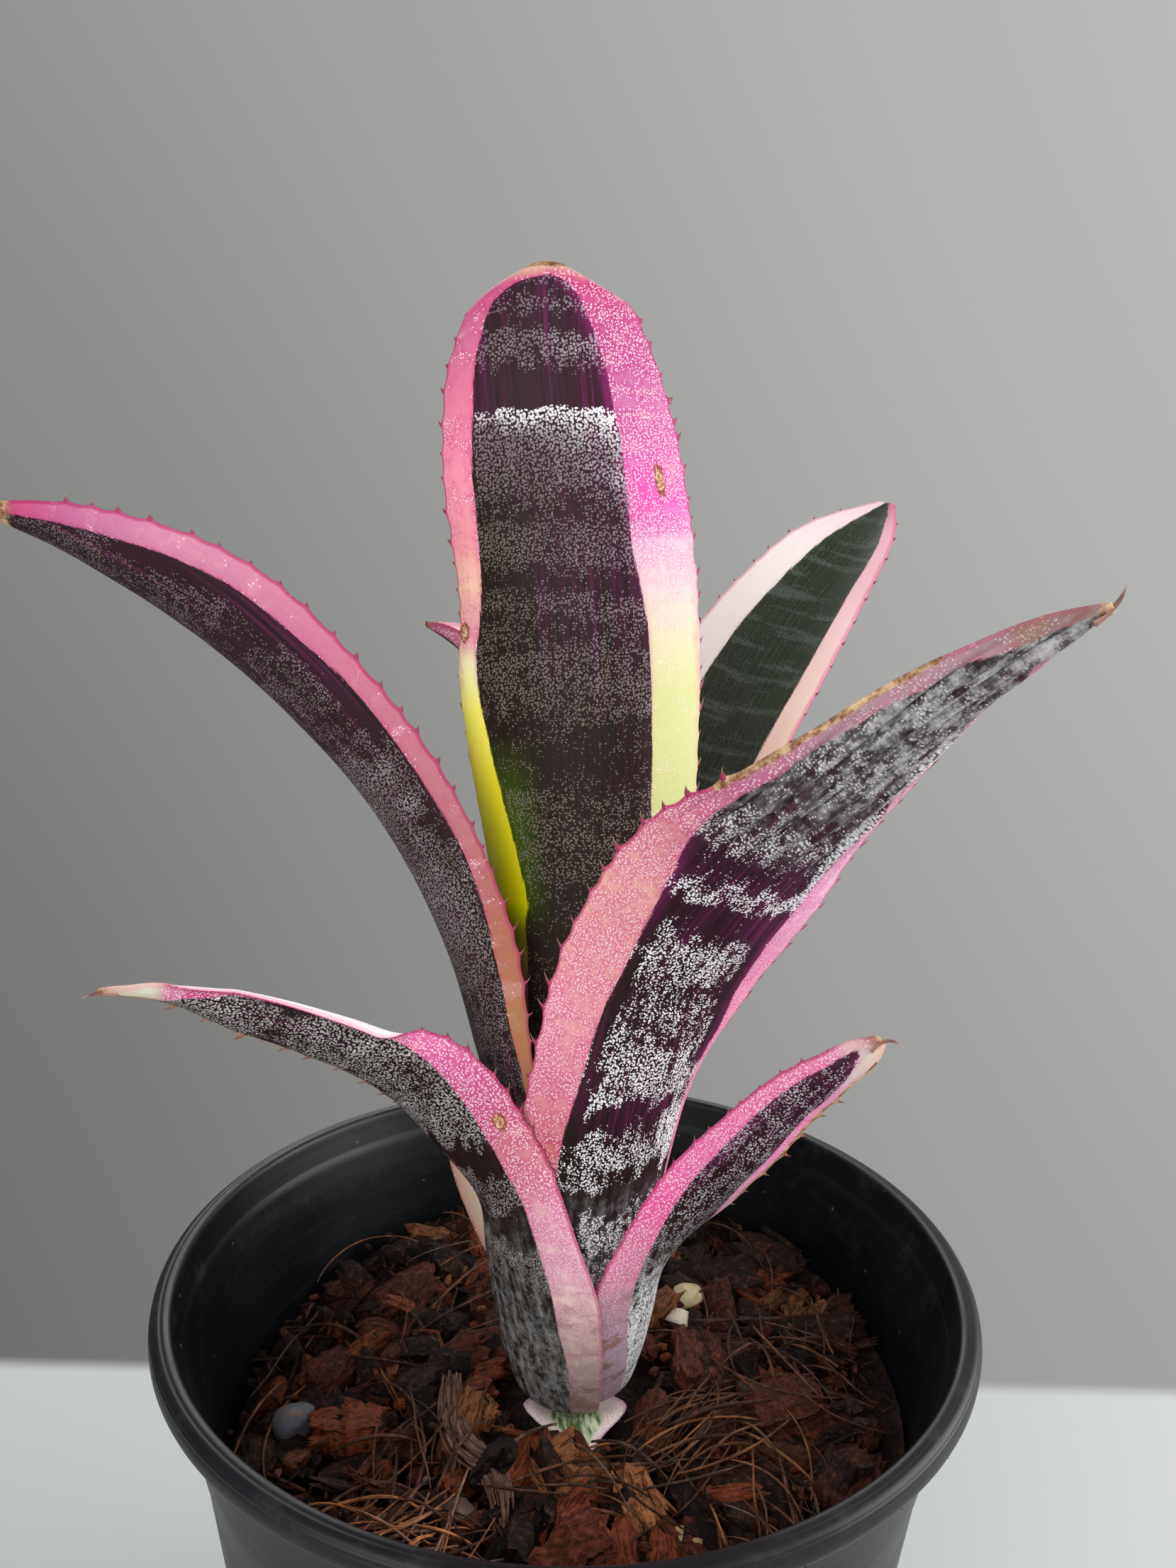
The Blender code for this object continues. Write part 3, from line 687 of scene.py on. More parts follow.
LEAVES["leaf_front_right"] = {
    "stations": [
        wrap(290, 4.7, 100.6, 80),
        wrap(290, 8.4, 102, 80),
        wrap(290, 10.4, 108, 76),
        wrap(290, 12.2, 118, 72),
        wrap(290, 13.9, 130, 68),
        [7.3, -15.5, 146, 17.5, 60, 290, 0, 0.3],
        [9.5, -18.8, 165, 18, 52, 287, 0, 0.8],
        [14.5, -23.5, 186, 19, 40, 276, 0, 1],
        [25, -34, 206.5, 19, 32, 272, 0, 1],
        [37, -47, 223, 14.5, 34, 280, 0, 1],
        [50, -59, 239, 8.5, 38, 292, 0, 1],
        [57, -64, 245.5, 5, 40, 300, 0, 1],
        [62, -66, 249, 1.5, 30, 300, 0, 1],
    ],
    "narrow": {
        -1: [(0, 1), (0.55, 0.96), (0.68, 0.8), (0.8, 0.7), (0.92, 0.7), (1, 1)],
        1: [
            (0, 1), (0.3, 1), (0.42, 0.93), (0.55, 0.92), (0.66, 0.93), (0.72, 0.88), (0.82, 0.88),
            (0.9, 0.95), (1, 1),
        ],
    },
    "crease": 0.6,
    "zone_left": [
        (0, 0.6), (0.336, 0.55), (0.381, 0.5), (0.446, 0.47), (0.506, 0.42), (0.569, 0.47),
        (0.624, 0.57), (0.66, 0.68), (0.7, 0.78), (0.74, 0.8), (0.79, 0.78), (0.85, 0.76),
        (0.9, 0.72), (0.95, 0.6), (1, 0.4),
    ],
    "zone_right": [
        (0, -0.85), (0.45, -0.8), (0.506, -0.73), (0.579, -0.68), (0.642, -0.7), (0.697, -0.78),
        (0.764, -0.8), (0.807, -0.8), (0.865, -0.76), (0.912, -0.66), (0.96, -0.35), (1, 0.3),
    ],
    "silver": [
        (0, 0.36), (0.16, 0.28), (0.2, 0.36), (0.24, 0.4), (0.252, 0.02), (0.275, 0), (0.29, 0.35),
        (0.31, 0.42), (0.335, 0.35), (0.352, 0.02), (0.37, 0.05), (0.382, 0.45), (0.41, 0.5),
        (0.43, 0.4), (0.45, 0.27), (0.47, 0.36), (0.49, 0.23), (0.505, 0.16), (0.52, 0.38),
        (0.545, 0.47), (0.57, 0.36), (0.582, 0.07), (0.602, 0), (0.612, 0.2), (0.62, 0.56),
        (0.632, 0.58), (0.64, 0.24), (0.65, 0.06), (0.67, 0.12), (0.69, 0.34), (0.71, 0.4),
        (0.73, 0.2), (0.76, 0.12), (0.79, 0.32), (0.85, 0.34), (0.93, 0.3), (1, 0.24),
    ],
    "bare": [
        (1, 0.3, 0.36, 0.6, 0.66, 3.2, -0.4), (-1, 0.36, 0.42, 0.58, 0.62, 4, -0.5),
        (-1, 0.26, 0.3, 0.36, 0.42, 8, 0.4), (-1, 0.6, 0.64, 0.8, 0.88, 3, 0.75),
    ],
    "bow": 1,
    "slant": 2.5,
    "warp": 4,
    "whiteness_and_glint": [(0, 0.8), (0.28, 0.95), (0.64, 1), (0.7, 0.7), (0.8, 0.6), (1, 0.4)],
    "purple": [(0, 0.2), (0.3, 0.3), (0.36, 0.75), (0.5, 0.5), (0.62, 0.95), (0.75, 0.6), (1, 0.45)],
    "purple_side": 0.25,
    "frost": [
        (0, 0.9), (0.14, 0.9), (0.2, 0.35), (0.24, 0.2), (0.28, 0), (0.66, 0), (0.72, 0.25),
        (0.78, 0.5), (0.86, 0.7), (1, 0.8),
    ],
    "edge_left": [
        (0, ASH), (0.24, tone(190, 118, 104)), (0.31, tone(206, 124, 122)),
        (0.37, tone(224, 150, 158)), (0.45, tone(232, 168, 168)), (0.53, tone(236, 180, 166)),
        (0.6, tone(230, 178, 162)), (0.67, tone(214, 140, 148)), (0.73, tone(184, 108, 138)),
        (0.82, tone(186, 138, 152)), (0.92, tone(176, 130, 140)), (1, DUSK),
    ],
    # The right margin is painted near white in its middle: a pale pink margin, brightened with painted
    # light where it faces the light.
    "edge_right": [
        (0, ASH), (0.4, tone(250, 160, 184)), (0.55, tone(255, 186, 206)),
        (0.65, tone(255, 210, 226)), (0.75, tone(255, 214, 222)), (0.9, tone(226, 172, 188)),
        (1, DUSK),
    ],
    "lining": [(0, ASH), (0.3, LILAC), (0.5, CHALK), (0.85, CHALK), (1, TAN)],
    "dry": [(0.965, 0), (1, 0.7)],
    "dry_edges": [(1, 0.68, 0.73, 0.88, 0.95, 0.88, 0.72), (-1, 0.7, 0.75, 0.84, 0.9, 0.93, 0.62)],
    "spines": {1: (5.2, 1.7, 0.2, 0.74), -1: (5, 1.5, 0.42, 0.95)},
    "tip": ((0.05, -0.1, 1.0), 5.0, 0.9),
}

LEAVES["leaf_left"] = {
    "stations": [
        wrap(195, 4.7, 101.6, 80),
        wrap(195, 7.5, 103, 78),
        wrap(195, 9.4, 109, 75),
        wrap(195, 11.2, 120, 70),
        wrap(195, 12.7, 132, 64),
        [-12.2, -3.7, 147, 14.8, 58, 194, 0, 0.3],
        [-16.5, -4.2, 165, 15, 56, 192, -5, 0.8],
        [-22.5, -5.5, 188, 16, 55, 187, -20, 1],
        [-33, -7, 210, 16.5, 52, 186, -28, 1],
        [-46, -9, 227, 16.5, 50, 185, -33, 1],
        [-61, -11, 241, 16, 50, 184, -35, 1],
        [-76, -12, 250.5, 11.5, 45, 184, -32, 1],
        [-90, -13, 257, 5, 40, 184, -28, 1],
        [-96, -14, 259, 1.5, 30, 184, -28, 1],
    ],
    "zone_left": [(0, 0.7), (1, 0.65)],
    "zone_right": [
        (0, -0.88), (0.348, -0.85), (0.398, -0.78), (0.444, -0.76), (0.484, -0.8), (0.534, -0.82),
        (0.584, -0.8), (0.642, -0.8), (0.697, -0.79), (0.747, -0.74), (0.8, -0.73), (0.85, -0.7),
        (0.897, -0.64), (0.945, -0.58), (1, -0.45),
    ],
    "silver": [
        (0, 0.22), (0.28, 0.15), (0.34, 0.35), (0.38, 0.41), (0.4, 0.3), (0.44, 0.46), (0.46, 0.6),
        (0.53, 0.62), (0.545, 0.44), (0.57, 0.46), (0.585, 0.64), (0.64, 0.58), (0.66, 0.22),
        (0.685, 0.19), (0.7, 0.32), (0.75, 0.32), (0.765, 0.14), (0.79, 0.17), (0.8, 0.33),
        (0.85, 0.3), (0.87, 0.19), (0.89, 0.22), (0.9, 0.36), (0.95, 0.33), (1, 0.14),
    ],
    "smooth": {-1: 1.3},
    "bare": [(-1, 0.42, 0.55, 0.86, 0.9, 4, -0.28)],
    "bow": 1,
    "warp": 4,
    "whiteness_and_glint": [(0, 0.05), (0.34, 0.12), (0.5, 0.26), (0.62, 0.26), (0.7, 0.15), (1, 0.15)],
    "purple": [(0, 0.3), (0.6, 0.45), (0.8, 0.55), (1, 0.45)],
    "frost": [(0, 0.9), (0.16, 0.5), (0.3, 0.1), (0.4, 0)],
    "edge_left": [(0, ASH), (0.4, SALMON), (0.7, PINK), (0.9, BLUSH * 0.8), (1, DUSK)],
    "edge_right": [
        (0, ASH), (0.28, DUSK), (0.34, tone(164, 112, 70)), (0.4, tone(171, 119, 80)),
        (0.47, tone(173, 106, 86)), (0.55, tone(182, 115, 121)), (0.65, tone(193, 115, 134)),
        (0.75, tone(203, 122, 149)), (0.85, tone(209, 136, 166)), (0.92, tone(194, 110, 151)),
        (0.965, CRIMSON), (1, DUSK),
    ],
    "lining": [(0, ASH), (0.3, LILAC), (0.5, CHALK), (0.9, CHALK), (1, TAN)],
    "dry": [(0.955, 0), (0.985, 0.8)],
    "spines": {1: (5, 1.1, 0.35, 0.95), -1: (4.8, 1.3, 0.3, 0.95)},
    "tip": ((-0.6, -0.3, -0.15), 3.0, 0.9),
}

LEAVES["leaf_low_left"] = {
    "stations": [
        wrap(226, 4.7, 97.2, 66),
        wrap(226, 10.6, 98.7, 66),
        wrap(226, 13.2, 104.5, 64),
        wrap(226, 15.3, 114, 61),
        wrap(222, 17.3, 126, 59),
        [-13, -12.5, 139, 15.5, 54, 212, -8, 0.5],
        [-18.5, -15.5, 153, 13, 48, 206, -35, 1],
        [-25, -19, 165, 11, 42, 202, -52, 1],
        [-33, -22.5, 172, 8.5, 40, 202, -60, 1],
        [-43, -27, 178, 7, 40, 204, -62, 1],
        [-54, -32, 183.5, 5.5, 40, 204, -62, 1],
        [-64, -35.5, 187.5, 4, 40, 206, -50, 1],
        [-70.5, -38, 188.5, 1.2, 30, 208, -40, 1],
    ],
    "narrow": {
        1: [(0, 1), (0.5, 1), (0.64, 0.72), (0.84, 0.66), (0.91, 0.26), (0.97, 0.3), (1, 0.4)],
        -1: [(0, 1), (0.86, 1), (0.92, 0.62), (0.97, 0.56), (1, 0.8)],
    },
    "rolled": (0.63, 0.95, -0.62),
    "zone_left": [(0, 0.72), (0.4, 0.8), (0.55, 0.93), (0.9, 0.93), (0.95, 0.9), (1, 0.9)],
    "zone_right": [
        (0, -0.62), (0.14, -0.62), (0.2, -0.56), (0.27, -0.56), (0.316, -0.56), (0.391, -0.55),
        (0.451, -0.47), (0.511, -0.45), (0.561, -0.45), (0.612, -0.55), (0.654, -0.66),
        (0.707, -0.74), (0.86, -0.7), (0.91, -0.3), (0.94, 0.5), (0.955, 0.95), (1, 0.95),
    ],
    "silver": [
        (0, 0.3), (0.17, 0.28), (0.2, 0.3), (0.215, 0.1), (0.27, 0.08), (0.29, 0.6), (0.325, 0.58),
        (0.335, 0.1), (0.37, 0.08), (0.385, 0.5), (0.45, 0.42), (0.458, 0), (0.485, 0), (0.495, 0.56),
        (0.56, 0.62), (0.62, 0.42), (0.68, 0.56), (0.74, 0.44), (0.8, 0.34), (0.86, 0.5), (0.93, 0.4),
        (1, 0.2),
    ],
    "bow": 0.5,
    "warp": 5,
    "whiteness_and_glint": [(0, 0.1), (0.3, 0.3), (0.5, 0.42), (1, 0.5)],
    "purple": [(0, 0.15), (0.5, 0.25), (1, 0.4)],
    "frost": [(0, 1), (0.12, 0.9), (0.22, 0.5), (0.33, 0.15), (0.4, 0)],
    "edge_left": [
        (0, ASH), (0.4, SALMON), (0.62, TAN * 1.2), (0.75, STRAW * 0.85), (0.9, STRAW * 0.8),
        (1, RUST),
    ],
    "edge_right": [
        (0, LILAC), (0.14, tone(214, 184, 176)), (0.22, tone(248, 216, 204)),
        (0.3, tone(255, 222, 218)), (0.37, tone(238, 190, 196)), (0.42, tone(216, 152, 156)),
        (0.47, tone(208, 134, 140)), (0.54, tone(206, 118, 150)), (0.62, tone(226, 136, 176)),
        (0.75, ROSE), (0.88, CRIMSON), (0.92, tone(206, 130, 160)), (0.945, tone(204, 208, 188)),
        (0.985, tone(196, 186, 160)), (1, RUST),
    ],
    "lining": [
        (0, ASH), (0.3, LILAC), (0.5, BLUSH), (0.62, tone(255, 246, 250)), (0.9, tone(255, 246, 250)),
        (1, STRAW),
    ],
    "dry": [(0.985, 0), (1, 0.7)],
    "dry_edges": [(1, 0.55, 0.62, 0.97, 1, 0.84, 0.66)],
    "wounds": [(0.506, -0.72, 1.5, 0.9)],
    "spines": {1: (6.2, 1.6, 0.55, 0.93), -1: (3.6, 1.3, 0.42, 0.65)},
    "old_side": 1,
    "tip": ((-0.9, -0.2, -0.35), 4.0, 0.7),
}

LEAVES["leaf_low_right"] = {
    "stations": [
        wrap(335, 4.7, 98.4, 66),
        wrap(335, 9.9, 99.9, 64),
        wrap(335, 12.2, 105.5, 62),
        wrap(335, 14.1, 114, 60),
        wrap(335, 16.2, 125, 55),
        [20.8, -11.5, 136, 11.5, 50, 332, 20, 0.5],
        [26.5, -15, 146, 10, 42, 330, 45, 1],
        [32.5, -19, 155.5, 9, 38, 328, 55, 1],
        [38, -23, 165, 7.5, 38, 327, 58, 1],
        [43.5, -27, 173, 5.5, 35, 327, 58, 1],
        [47, -29, 178.5, 3, 35, 327, 58, 1],
        [48.5, -30, 181, 1, 30, 327, 50, 1],
    ],
    "narrow": {
        -1: [(0, 1), (0.3, 1), (0.45, 0.56), (0.6, 0.34), (0.9, 0.34), (1, 0.9)],
    },
    "zone_left": [
        (0, 0.2), (0.12, 0.3), (0.2, 0.42), (0.273, 0.5), (0.363, 0.54), (0.5, 0.58), (0.7, 0.64),
        (0.85, 0.66), (0.93, 0.6), (1, 0.4),
    ],
    "zone_right": [
        (0, -0.9), (0.3, -0.78), (0.393, -0.62), (0.534, -0.46), (0.629, -0.4), (0.732, -0.36),
        (0.84, -0.3), (0.9, -0.15), (0.95, 0.2), (0.975, 0.7), (1, 0.8),
    ],
    "silver": [
        (0, 0.7), (0.2, 0.78), (0.27, 0.7), (0.33, 0.25), (0.38, 0.41), (0.45, 0.31), (0.52, 0.41),
        (0.6, 0.31), (0.68, 0.4), (0.76, 0.31), (0.85, 0.37), (1, 0.12),
    ],
    "bow": 0.5,
    "warp": 4,
    "whiteness_and_glint": [(0, 1), (0.25, 0.9), (0.4, 0.5), (1, 0.5)],
    "purple": [(0, 0.1), (0.4, 0.3), (0.7, 0.7), (1, 0.6)],
    "frost": [(0, 1), (0.26, 0.95), (0.4, 0.2), (0.5, 0)],
    "edge_left": [
        (0, LILAC), (0.14, tone(196, 172, 190)), (0.22, tone(214, 180, 200)),
        (0.3, tone(216, 168, 178)), (0.4, tone(236, 168, 184)), (0.48, tone(244, 126, 176)),
        (0.6, tone(242, 144, 186)), (0.75, tone(238, 150, 180)), (0.9, tone(232, 160, 178)),
        (0.96, tone(206, 190, 190)), (1, RUST),
    ],
    "edge_right": [
        (0, ASH), (0.3, CHALK * 0.75), (0.4, tone(222, 186, 200)), (0.55, tone(250, 206, 222)),
        (0.65, tone(255, 186, 212)), (0.8, tone(255, 166, 204)), (0.92, tone(210, 190, 192)),
        (1, STRAW),
    ],
    "lining": [(0, ASH), (0.3, LILAC), (0.5, BLUSH), (0.85, CHALK), (1, STRAW)],
    "dry": [(0.97, 0), (1, 0.6)],
    "dry_edges": [(-1, 0.42, 0.5, 0.95, 0.99, 0.7, 0.62)],
    "spines": {1: (4.4, 0.8, 0.35, 0.9), -1: (5.6, 1.25, 0.4, 0.9)},
    "old_side": -1,
    "tip": ((0.5, -0.2, -0.75), 5.0, 0.7),
}

LEAVES["leaf_back_right"] = {
    "stations": [
        wrap(50, 4.7, 103.6, 85),
        wrap(50, 6.4, 105, 85),
        wrap(50, 7.8, 111, 82),
        wrap(50, 9.8, 125, 78),
        wrap(50, 11, 140, 58),
        [12.8, 12, 157, 12, 46, 50, 0, 0.3],
        [15.5, 15, 176, 15.5, 50, 50, 0, 0.8],
        [19.5, 18.5, 198, 18, 45, 50, 0, 1],
        [26, 24, 216, 18.5, 35, 50, 0, 1],
        [35, 30, 233, 18, 28, 50, 0, 1],
        [45, 36.5, 248, 15.5, 25, 50, 0, 1],
        [55, 42, 260, 10.5, 25, 50, 0, 1],
        [62, 46, 267, 2, 20, 50, 0, 1],
    ],
    "zone_left": [(0, 0.5), (0.6, 0.58), (0.8, 0.66), (0.93, 0.7), (0.98, 0.6), (1, 0.3)],
    "zone_right": [(0, -0.62), (0.6, -0.62), (0.8, -0.56), (0.93, -0.46), (1, -0.3)],
    "silver": [
        (0, 0.3), (0.35, 0.2), (0.4, 0.6), (0.5, 0.5), (0.52, 0.1), (0.56, 0.5), (0.64, 0.5),
        (0.66, 0.1), (0.7, 0.6), (0.8, 0.5), (0.82, 0.1), (0.86, 0.5), (0.93, 0.4), (1, 0.2),
    ],
    "bow": 1,
    "whiteness_and_glint": [(0, 0.2), (1, 0.2)],
    "purple": [(0, 0.3), (1, 0.5)],
    "frost": [(0, 0.9), (0.16, 0.5), (0.3, 0)],
    "edge_left": [(0, ASH), (0.35, SALMON), (0.6, PINK), (0.85, ROSE), (1, CRIMSON)],
    # The linings are painted near white: pale margins, brightened with painted light that stands in for
    # light shining through them.
    "lining": [
        (0, ASH), (0.4, PEACH * 0.8), (0.6, PEACH), (0.72, tone(255, 220, 206)),
        (0.82, tone(252, 208, 212)), (0.95, tone(236, 171, 187)), (1, CRIMSON),
    ],
    "lining_right": [
        (0, ASH), (0.4, STRAW * 0.85), (0.62, tone(255, 242, 236)), (0.9, tone(255, 244, 240)),
        (1, BLUSH),
    ],
    "dry": [(0.995, 0), (1, 0.5)],
    "spines": {1: (5, 1.1, 0.4, 0.97), -1: (5.4, 0.9, 0.4, 0.97)},
}

LEAVES["leaf_back_left"] = {
    "stations": [
        wrap(146, 4.7, 102.6, 80),
        wrap(146, 6.9, 104, 80),
        wrap(146, 8.6, 110, 78),
        wrap(146, 10.6, 123, 64),
        wrap(147, 12, 138, 41),
        [-9.3, 7.4, 155, 9.7, 42, 146, 0, 0.3],
        [-9.8, 11, 174, 11, 42, 140, 0, 0.8],
        [-10.2, 15.5, 194, 10.5, 42, 134, 0, 1],
        [-12, 20, 215, 10, 45, 135, 0, 1],
        [-17, 25, 229, 7, 40, 145, 0, 1],
        [-24, 29, 236.5, 4, 40, 160, 0, 1],
        [-31, 32, 240, 1.2, 30, 165, 0, 1],
    ],
    "narrow": {
        1: [(0, 1), (0.8, 1), (0.93, 1.7), (1, 2)],
        -1: [(0, 1), (0.8, 1), (0.93, 1.7), (1, 2)],
    },
    "zone_left": [(0, 0.5), (1, 0.5)],
    "zone_right": [(0, -0.5), (1, -0.5)],
    "silver": [
        (0, 0.3), (0.35, 0.2), (0.4, 0.6), (0.5, 0.5), (0.52, 0.1), (0.6, 0.5), (0.7, 0.5),
        (0.74, 0.1), (0.8, 0.6), (0.9, 0.5), (1, 0.2),
    ],
    "bow": 1,
    "whiteness_and_glint": [(0, 0.2), (1, 0.2)],
    "purple": [(0, 0.3), (0.8, 0.4), (1, 0.2)],
    "frost": [(0, 0.9), (0.16, 0.5), (0.3, 0)],
    "edge_left": [
        (0, ASH), (0.35, SALMON), (0.6, PINK), (0.85, tone(232, 182, 186)), (1, tone(206, 140, 152)),
    ],
    # The linings are painted near white: pale margins, brightened with painted light that stands in for
    # light shining through them.
    "lining": [
        (0, ASH), (0.4, STRAW), (0.6, tone(255, 246, 238)), (0.9, tone(255, 240, 236)),
        (1, tone(244, 190, 196)),
    ],
    "dry": [(0.98, 0), (1, 0.8)],
    "spines": {1: (5, 0.8, 0.4, 0.95), -1: (5.2, 0.8, 0.4, 0.95)},
}

LEAVES["leaf_stub"] = {
    "stations": [
        wrap(138, 4.7, 99.6, 50),
        wrap(138, 9.1, 101, 46),
        wrap(138, 11.3, 106.5, 32),
        [-9.8, 10.7, 113, 4.5, 17, 139, 0, 0],
        [-14, 13.5, 121, 6.5, 24, 140, 0, 0.5],
        [-19, 17, 131, 7, 26, 140, 0, 1],
        [-22.5, 19.5, 139, 6, 28, 140, 0, 1],
    ],
    "zone_left": [(0, 0.2), (1, 0.3)],
    "zone_right": [(0, -0.3), (1, -0.4)],
    "silver": [(0, 0.3), (1, 0.4)],
    "bow": 0.5,
    "whiteness_and_glint": [(0, 0.3), (1, 0.3)],
    "purple": [(0, 0.1), (1, 0.1)],
    "frost": [(0, 0.9), (0.4, 0.3), (1, 0.2)],
    "edge_left": [(0, ASH), (0.3, CHALK * 0.7), (0.6, tone(150, 128, 104)), (1, tone(150, 120, 88))],
    "lining": [(0, ASH), (0.3, CHALK * 0.8), (0.6, tone(160, 136, 110)), (1, tone(150, 120, 88))],
    "dry": [(0.93, 0), (1, 0.9)],
    "spines": {1: (4, 0.6, 0.4, 0.9), -1: (4, 0.6, 0.4, 0.9)},
}

LEAVES["basal_leaf"] = {
    "stations": [
        wrap(270, 4.9, 95.6, 75),
        wrap(270, 9.2, 96.2, 66),
        wrap(271, 11.8, 96.6, 54),
        [2.8, -14.2, 96, 5.2, 35, 272, 0, 0],
        [3.4, -16.6, 94.6, 1.8, 25, 272, 0, 0],
    ],
    "zone_left": [(0, 0.55), (1, 0.3)],
    "zone_right": [(0, -0.45), (1, -0.5)],
    "silver": [(0, 0), (1, 0)],
    "bow": 0,
    "whiteness_and_glint": [(0, 0), (1, 0)],
    "purple": [(0, 0), (1, 0)],
    "frost": [(0, 0), (1, 0)],
    "edge_left": [(0, BLUSH), (1, BLUSH)],
    "lining": [(0, BLUSH), (1, CHALK)],
    "dry": [(0.97, 0), (1, 0.3)],
    "spines": {1: (3.4, 0.6, 0.5, 0.9), -1: (3.1, 0.6, 0.2, 0.9)},
}


def curve(stops, where):
    """The value of a list of (share, value) stops, at each place in where."""
    shares = [share for share, _ in stops]
    values = np.array([value for _, value in stops], float)
    if values.ndim == 1:
        return np.interp(where, shares, values)
    return np.stack([np.interp(where, shares, values[:, k]) for k in range(3)], -1)


def leaf_sheet(rows, narrow):
    """The leaf's middle surface, with its shares, sides, length and half widths."""
    rows = np.array(rows, dtype=float)
    knots = lengths_along(rows[:, :3])
    where = np.linspace(0, knots[-1], max(LEAST_ROWS, int(knots[-1] / ROW_STEP)))
    place = smooth(knots, rows[:, :3], where)
    width, trough, heading, roll, lean = smooth(knots, rows[:, 3:], where).T
    trough, heading, roll = np.radians(trough), np.radians(heading), np.radians(roll)
    lean = np.clip(lean, 0, 1)[:, None]
    tiny = 1e-3 * knots[-1]
    along = unit(
        smooth(knots, rows[:, :3], np.minimum(where + tiny, knots[-1]))
        - smooth(knots, rows[:, :3], np.maximum(where - tiny, 0))
    )
    axis = unit((1 - lean) * np.array([0.0, 0.0, 1.0]) + lean * along)
    side = np.stack([np.sin(heading), -np.cos(heading), 0 * heading], 1)
    side = unit(side - (side * axis).sum(1, keepdims=True) * axis)
    inward = np.cross(side, axis)
    turn_cos, turn_sin = np.cos(roll)[:, None], np.sin(roll)[:, None]
    side, inward = turn_cos * side + turn_sin * inward, turn_cos * inward - turn_sin * side
    v = np.sin(np.linspace(-1, 1, COLUMNS) * COLUMN_CROWDING) / math.sin(COLUMN_CROWDING)
    width = np.maximum(width, LEAST_HALF_WIDTH)
    kept = np.ones((len(where), COLUMNS))
    for sign, shares in narrow.items():
        kept = np.where(sign * v[None, :] > 0, curve(shares, where / knots[-1])[:, None], kept)
    across = v[None, :] * kept * trough[:, None]
    radius = (width / trough)[:, None]
    out = (radius * np.sin(across))[..., None] * side[:, None]
    lift = (radius * (1 - np.cos(across)))[..., None] * inward[:, None]
    return place[:, None] + out + lift, where / knots[-1], v, knots[-1], width


def outward(sheet):
    """The way out of the outer face, at each point of the sheet."""
    return unit(np.cross(np.gradient(sheet, axis=0), np.gradient(sheet, axis=1)))


def roll_margin(sheet, share, v, width, start, end, line):
    """Rolls the right margin of the stretch from start to end back over the outer face."""
    amount = ease(share, start, start + 0.06) * (1 - ease(share, end - 0.05, end))
    normal = outward(sheet)
    first = int(np.searchsorted(v, line))
    rolled = sheet.copy()
    for i in np.nonzero(amount > 0.01)[0]:
        hinge = sheet[i, first]
        way = unit(sheet[i, first - 1] - hinge)
        face = normal[i, first]
        for j in range(first):
            arc = (v[first] - v[j]) * width[i]
            angle = min(arc / ROLL_RADIUS, ROLL_ANGLE)
            past = max(0.0, arc - ROLL_ANGLE * ROLL_RADIUS)
            curl = hinge + way * ROLL_RADIUS * math.sin(angle) + face * ROLL_RADIUS * (1 - math.cos(angle))
            curl = curl + (way * math.cos(angle) + face * math.sin(angle)) * past
            rolled[i, j] = sheet[i, j] * (1 - amount[i]) + curl * amount[i]
    return rolled


SPINE_COLOURS = [
    (0, tone(186, 50, 110)),
    (0.35, tone(150, 40, 84)),
    (0.7, tone(120, 62, 58)),
    (1, tone(206, 170, 140)),
]
OLD_SPINE_COLOURS = [(0, tone(190, 130, 110)), (0.4, tone(150, 92, 62)), (1, tone(96, 56, 38))]
DRY_TIP_COLOURS = [
    (0, tone(176, 132, 124)),
    (0.4, tone(156, 112, 96)),
    (0.75, tone(104, 70, 58)),
    (1, tone(200, 180, 160)),
]


def spine(shell, root, out, ahead, normal, size, lean, colours):
    """One hooked marginal spine, flattened like a thorn, that grows from the leaf's edge."""
    sides = 6
    ring_share = np.array([0.0, 0.22, 0.5, 0.78, 1.0])
    points = []
    for s in ring_share:
        reach = root + out * size * (0.95 * s - 0.15) + ahead * size * lean * s * s
        long_half = size * 0.42 * (1 - s) ** 1.3 + 0.03
        flat_half = size * 0.17 * (1 - s) + 0.025
        for a in turned(sides):
            points.append(reach + ahead * math.cos(a) * long_half + normal * math.sin(a) * flat_half)
    points.append(root + out * size * 0.85 + ahead * size * lean * 1.08)
    points.append(root - out * size * 0.2)
    tint = np.repeat(curve(colours, ring_share), sides, axis=0)
    tint = np.concatenate([tint, [colours[-1][1], colours[0][1]]])
    place = np.zeros((len(points), 3))
    place[:, 0] = root[2]
    place[:, 1] = np.arange(len(points)) % sides * 0.2
    shell.add(points, tube(len(ring_share), sides, foot=1, head=0), HORN, place=place, tint=tint)


def dry_tip(shell, sheet, along, bend, size, thick):
    """The withered end of a leaf, shrunk to a bent point."""
    middle = sheet.shape[1] // 2
    start = sheet[-3, middle]
    ahead = along[-3, middle]
    bend = unit(np.array(bend))
    side = unit(np.cross(ahead, bend))
    rings, sides = 14, 8
    angle = turned(sides)
    points = []
    spot = start - ahead * 1.2
    heading = ahead
    shades = np.arange(rings) / (rings - 1)
    for s in shades:
        heading = unit(heading * (1 - 0.16 * s) + bend * 0.3 * s)
        lift = unit(np.cross(side, heading))
        half = thick * (1 - s) ** 0.8 + 0.05
        wave = 1 + 0.2 * np.sin(3 * angle + 5 * s)
        for a, w in zip(angle, wave):
            points.append(spot + side * math.cos(a) * half * w + lift * math.sin(a) * half * 0.55 * w)
        spot = spot + heading * (size + 1.2) / rings
    points.append(spot)
    points.append(start - ahead * 1.3)
    tint = np.repeat(curve(DRY_TIP_COLOURS, shades), sides, axis=0)
    tint = np.concatenate([tint, [DRY_TIP_COLOURS[-1][1], DRY_TIP_COLOURS[0][1]]])
    place = np.zeros((len(points), 3))
    place[:-2, 0] = np.repeat(shades * size, sides)
    place[:-2, 1] = np.tile(angle, rings)
    shell.add(points, tube(rings, sides, foot=1, head=0), HORN, place=place, tint=tint)


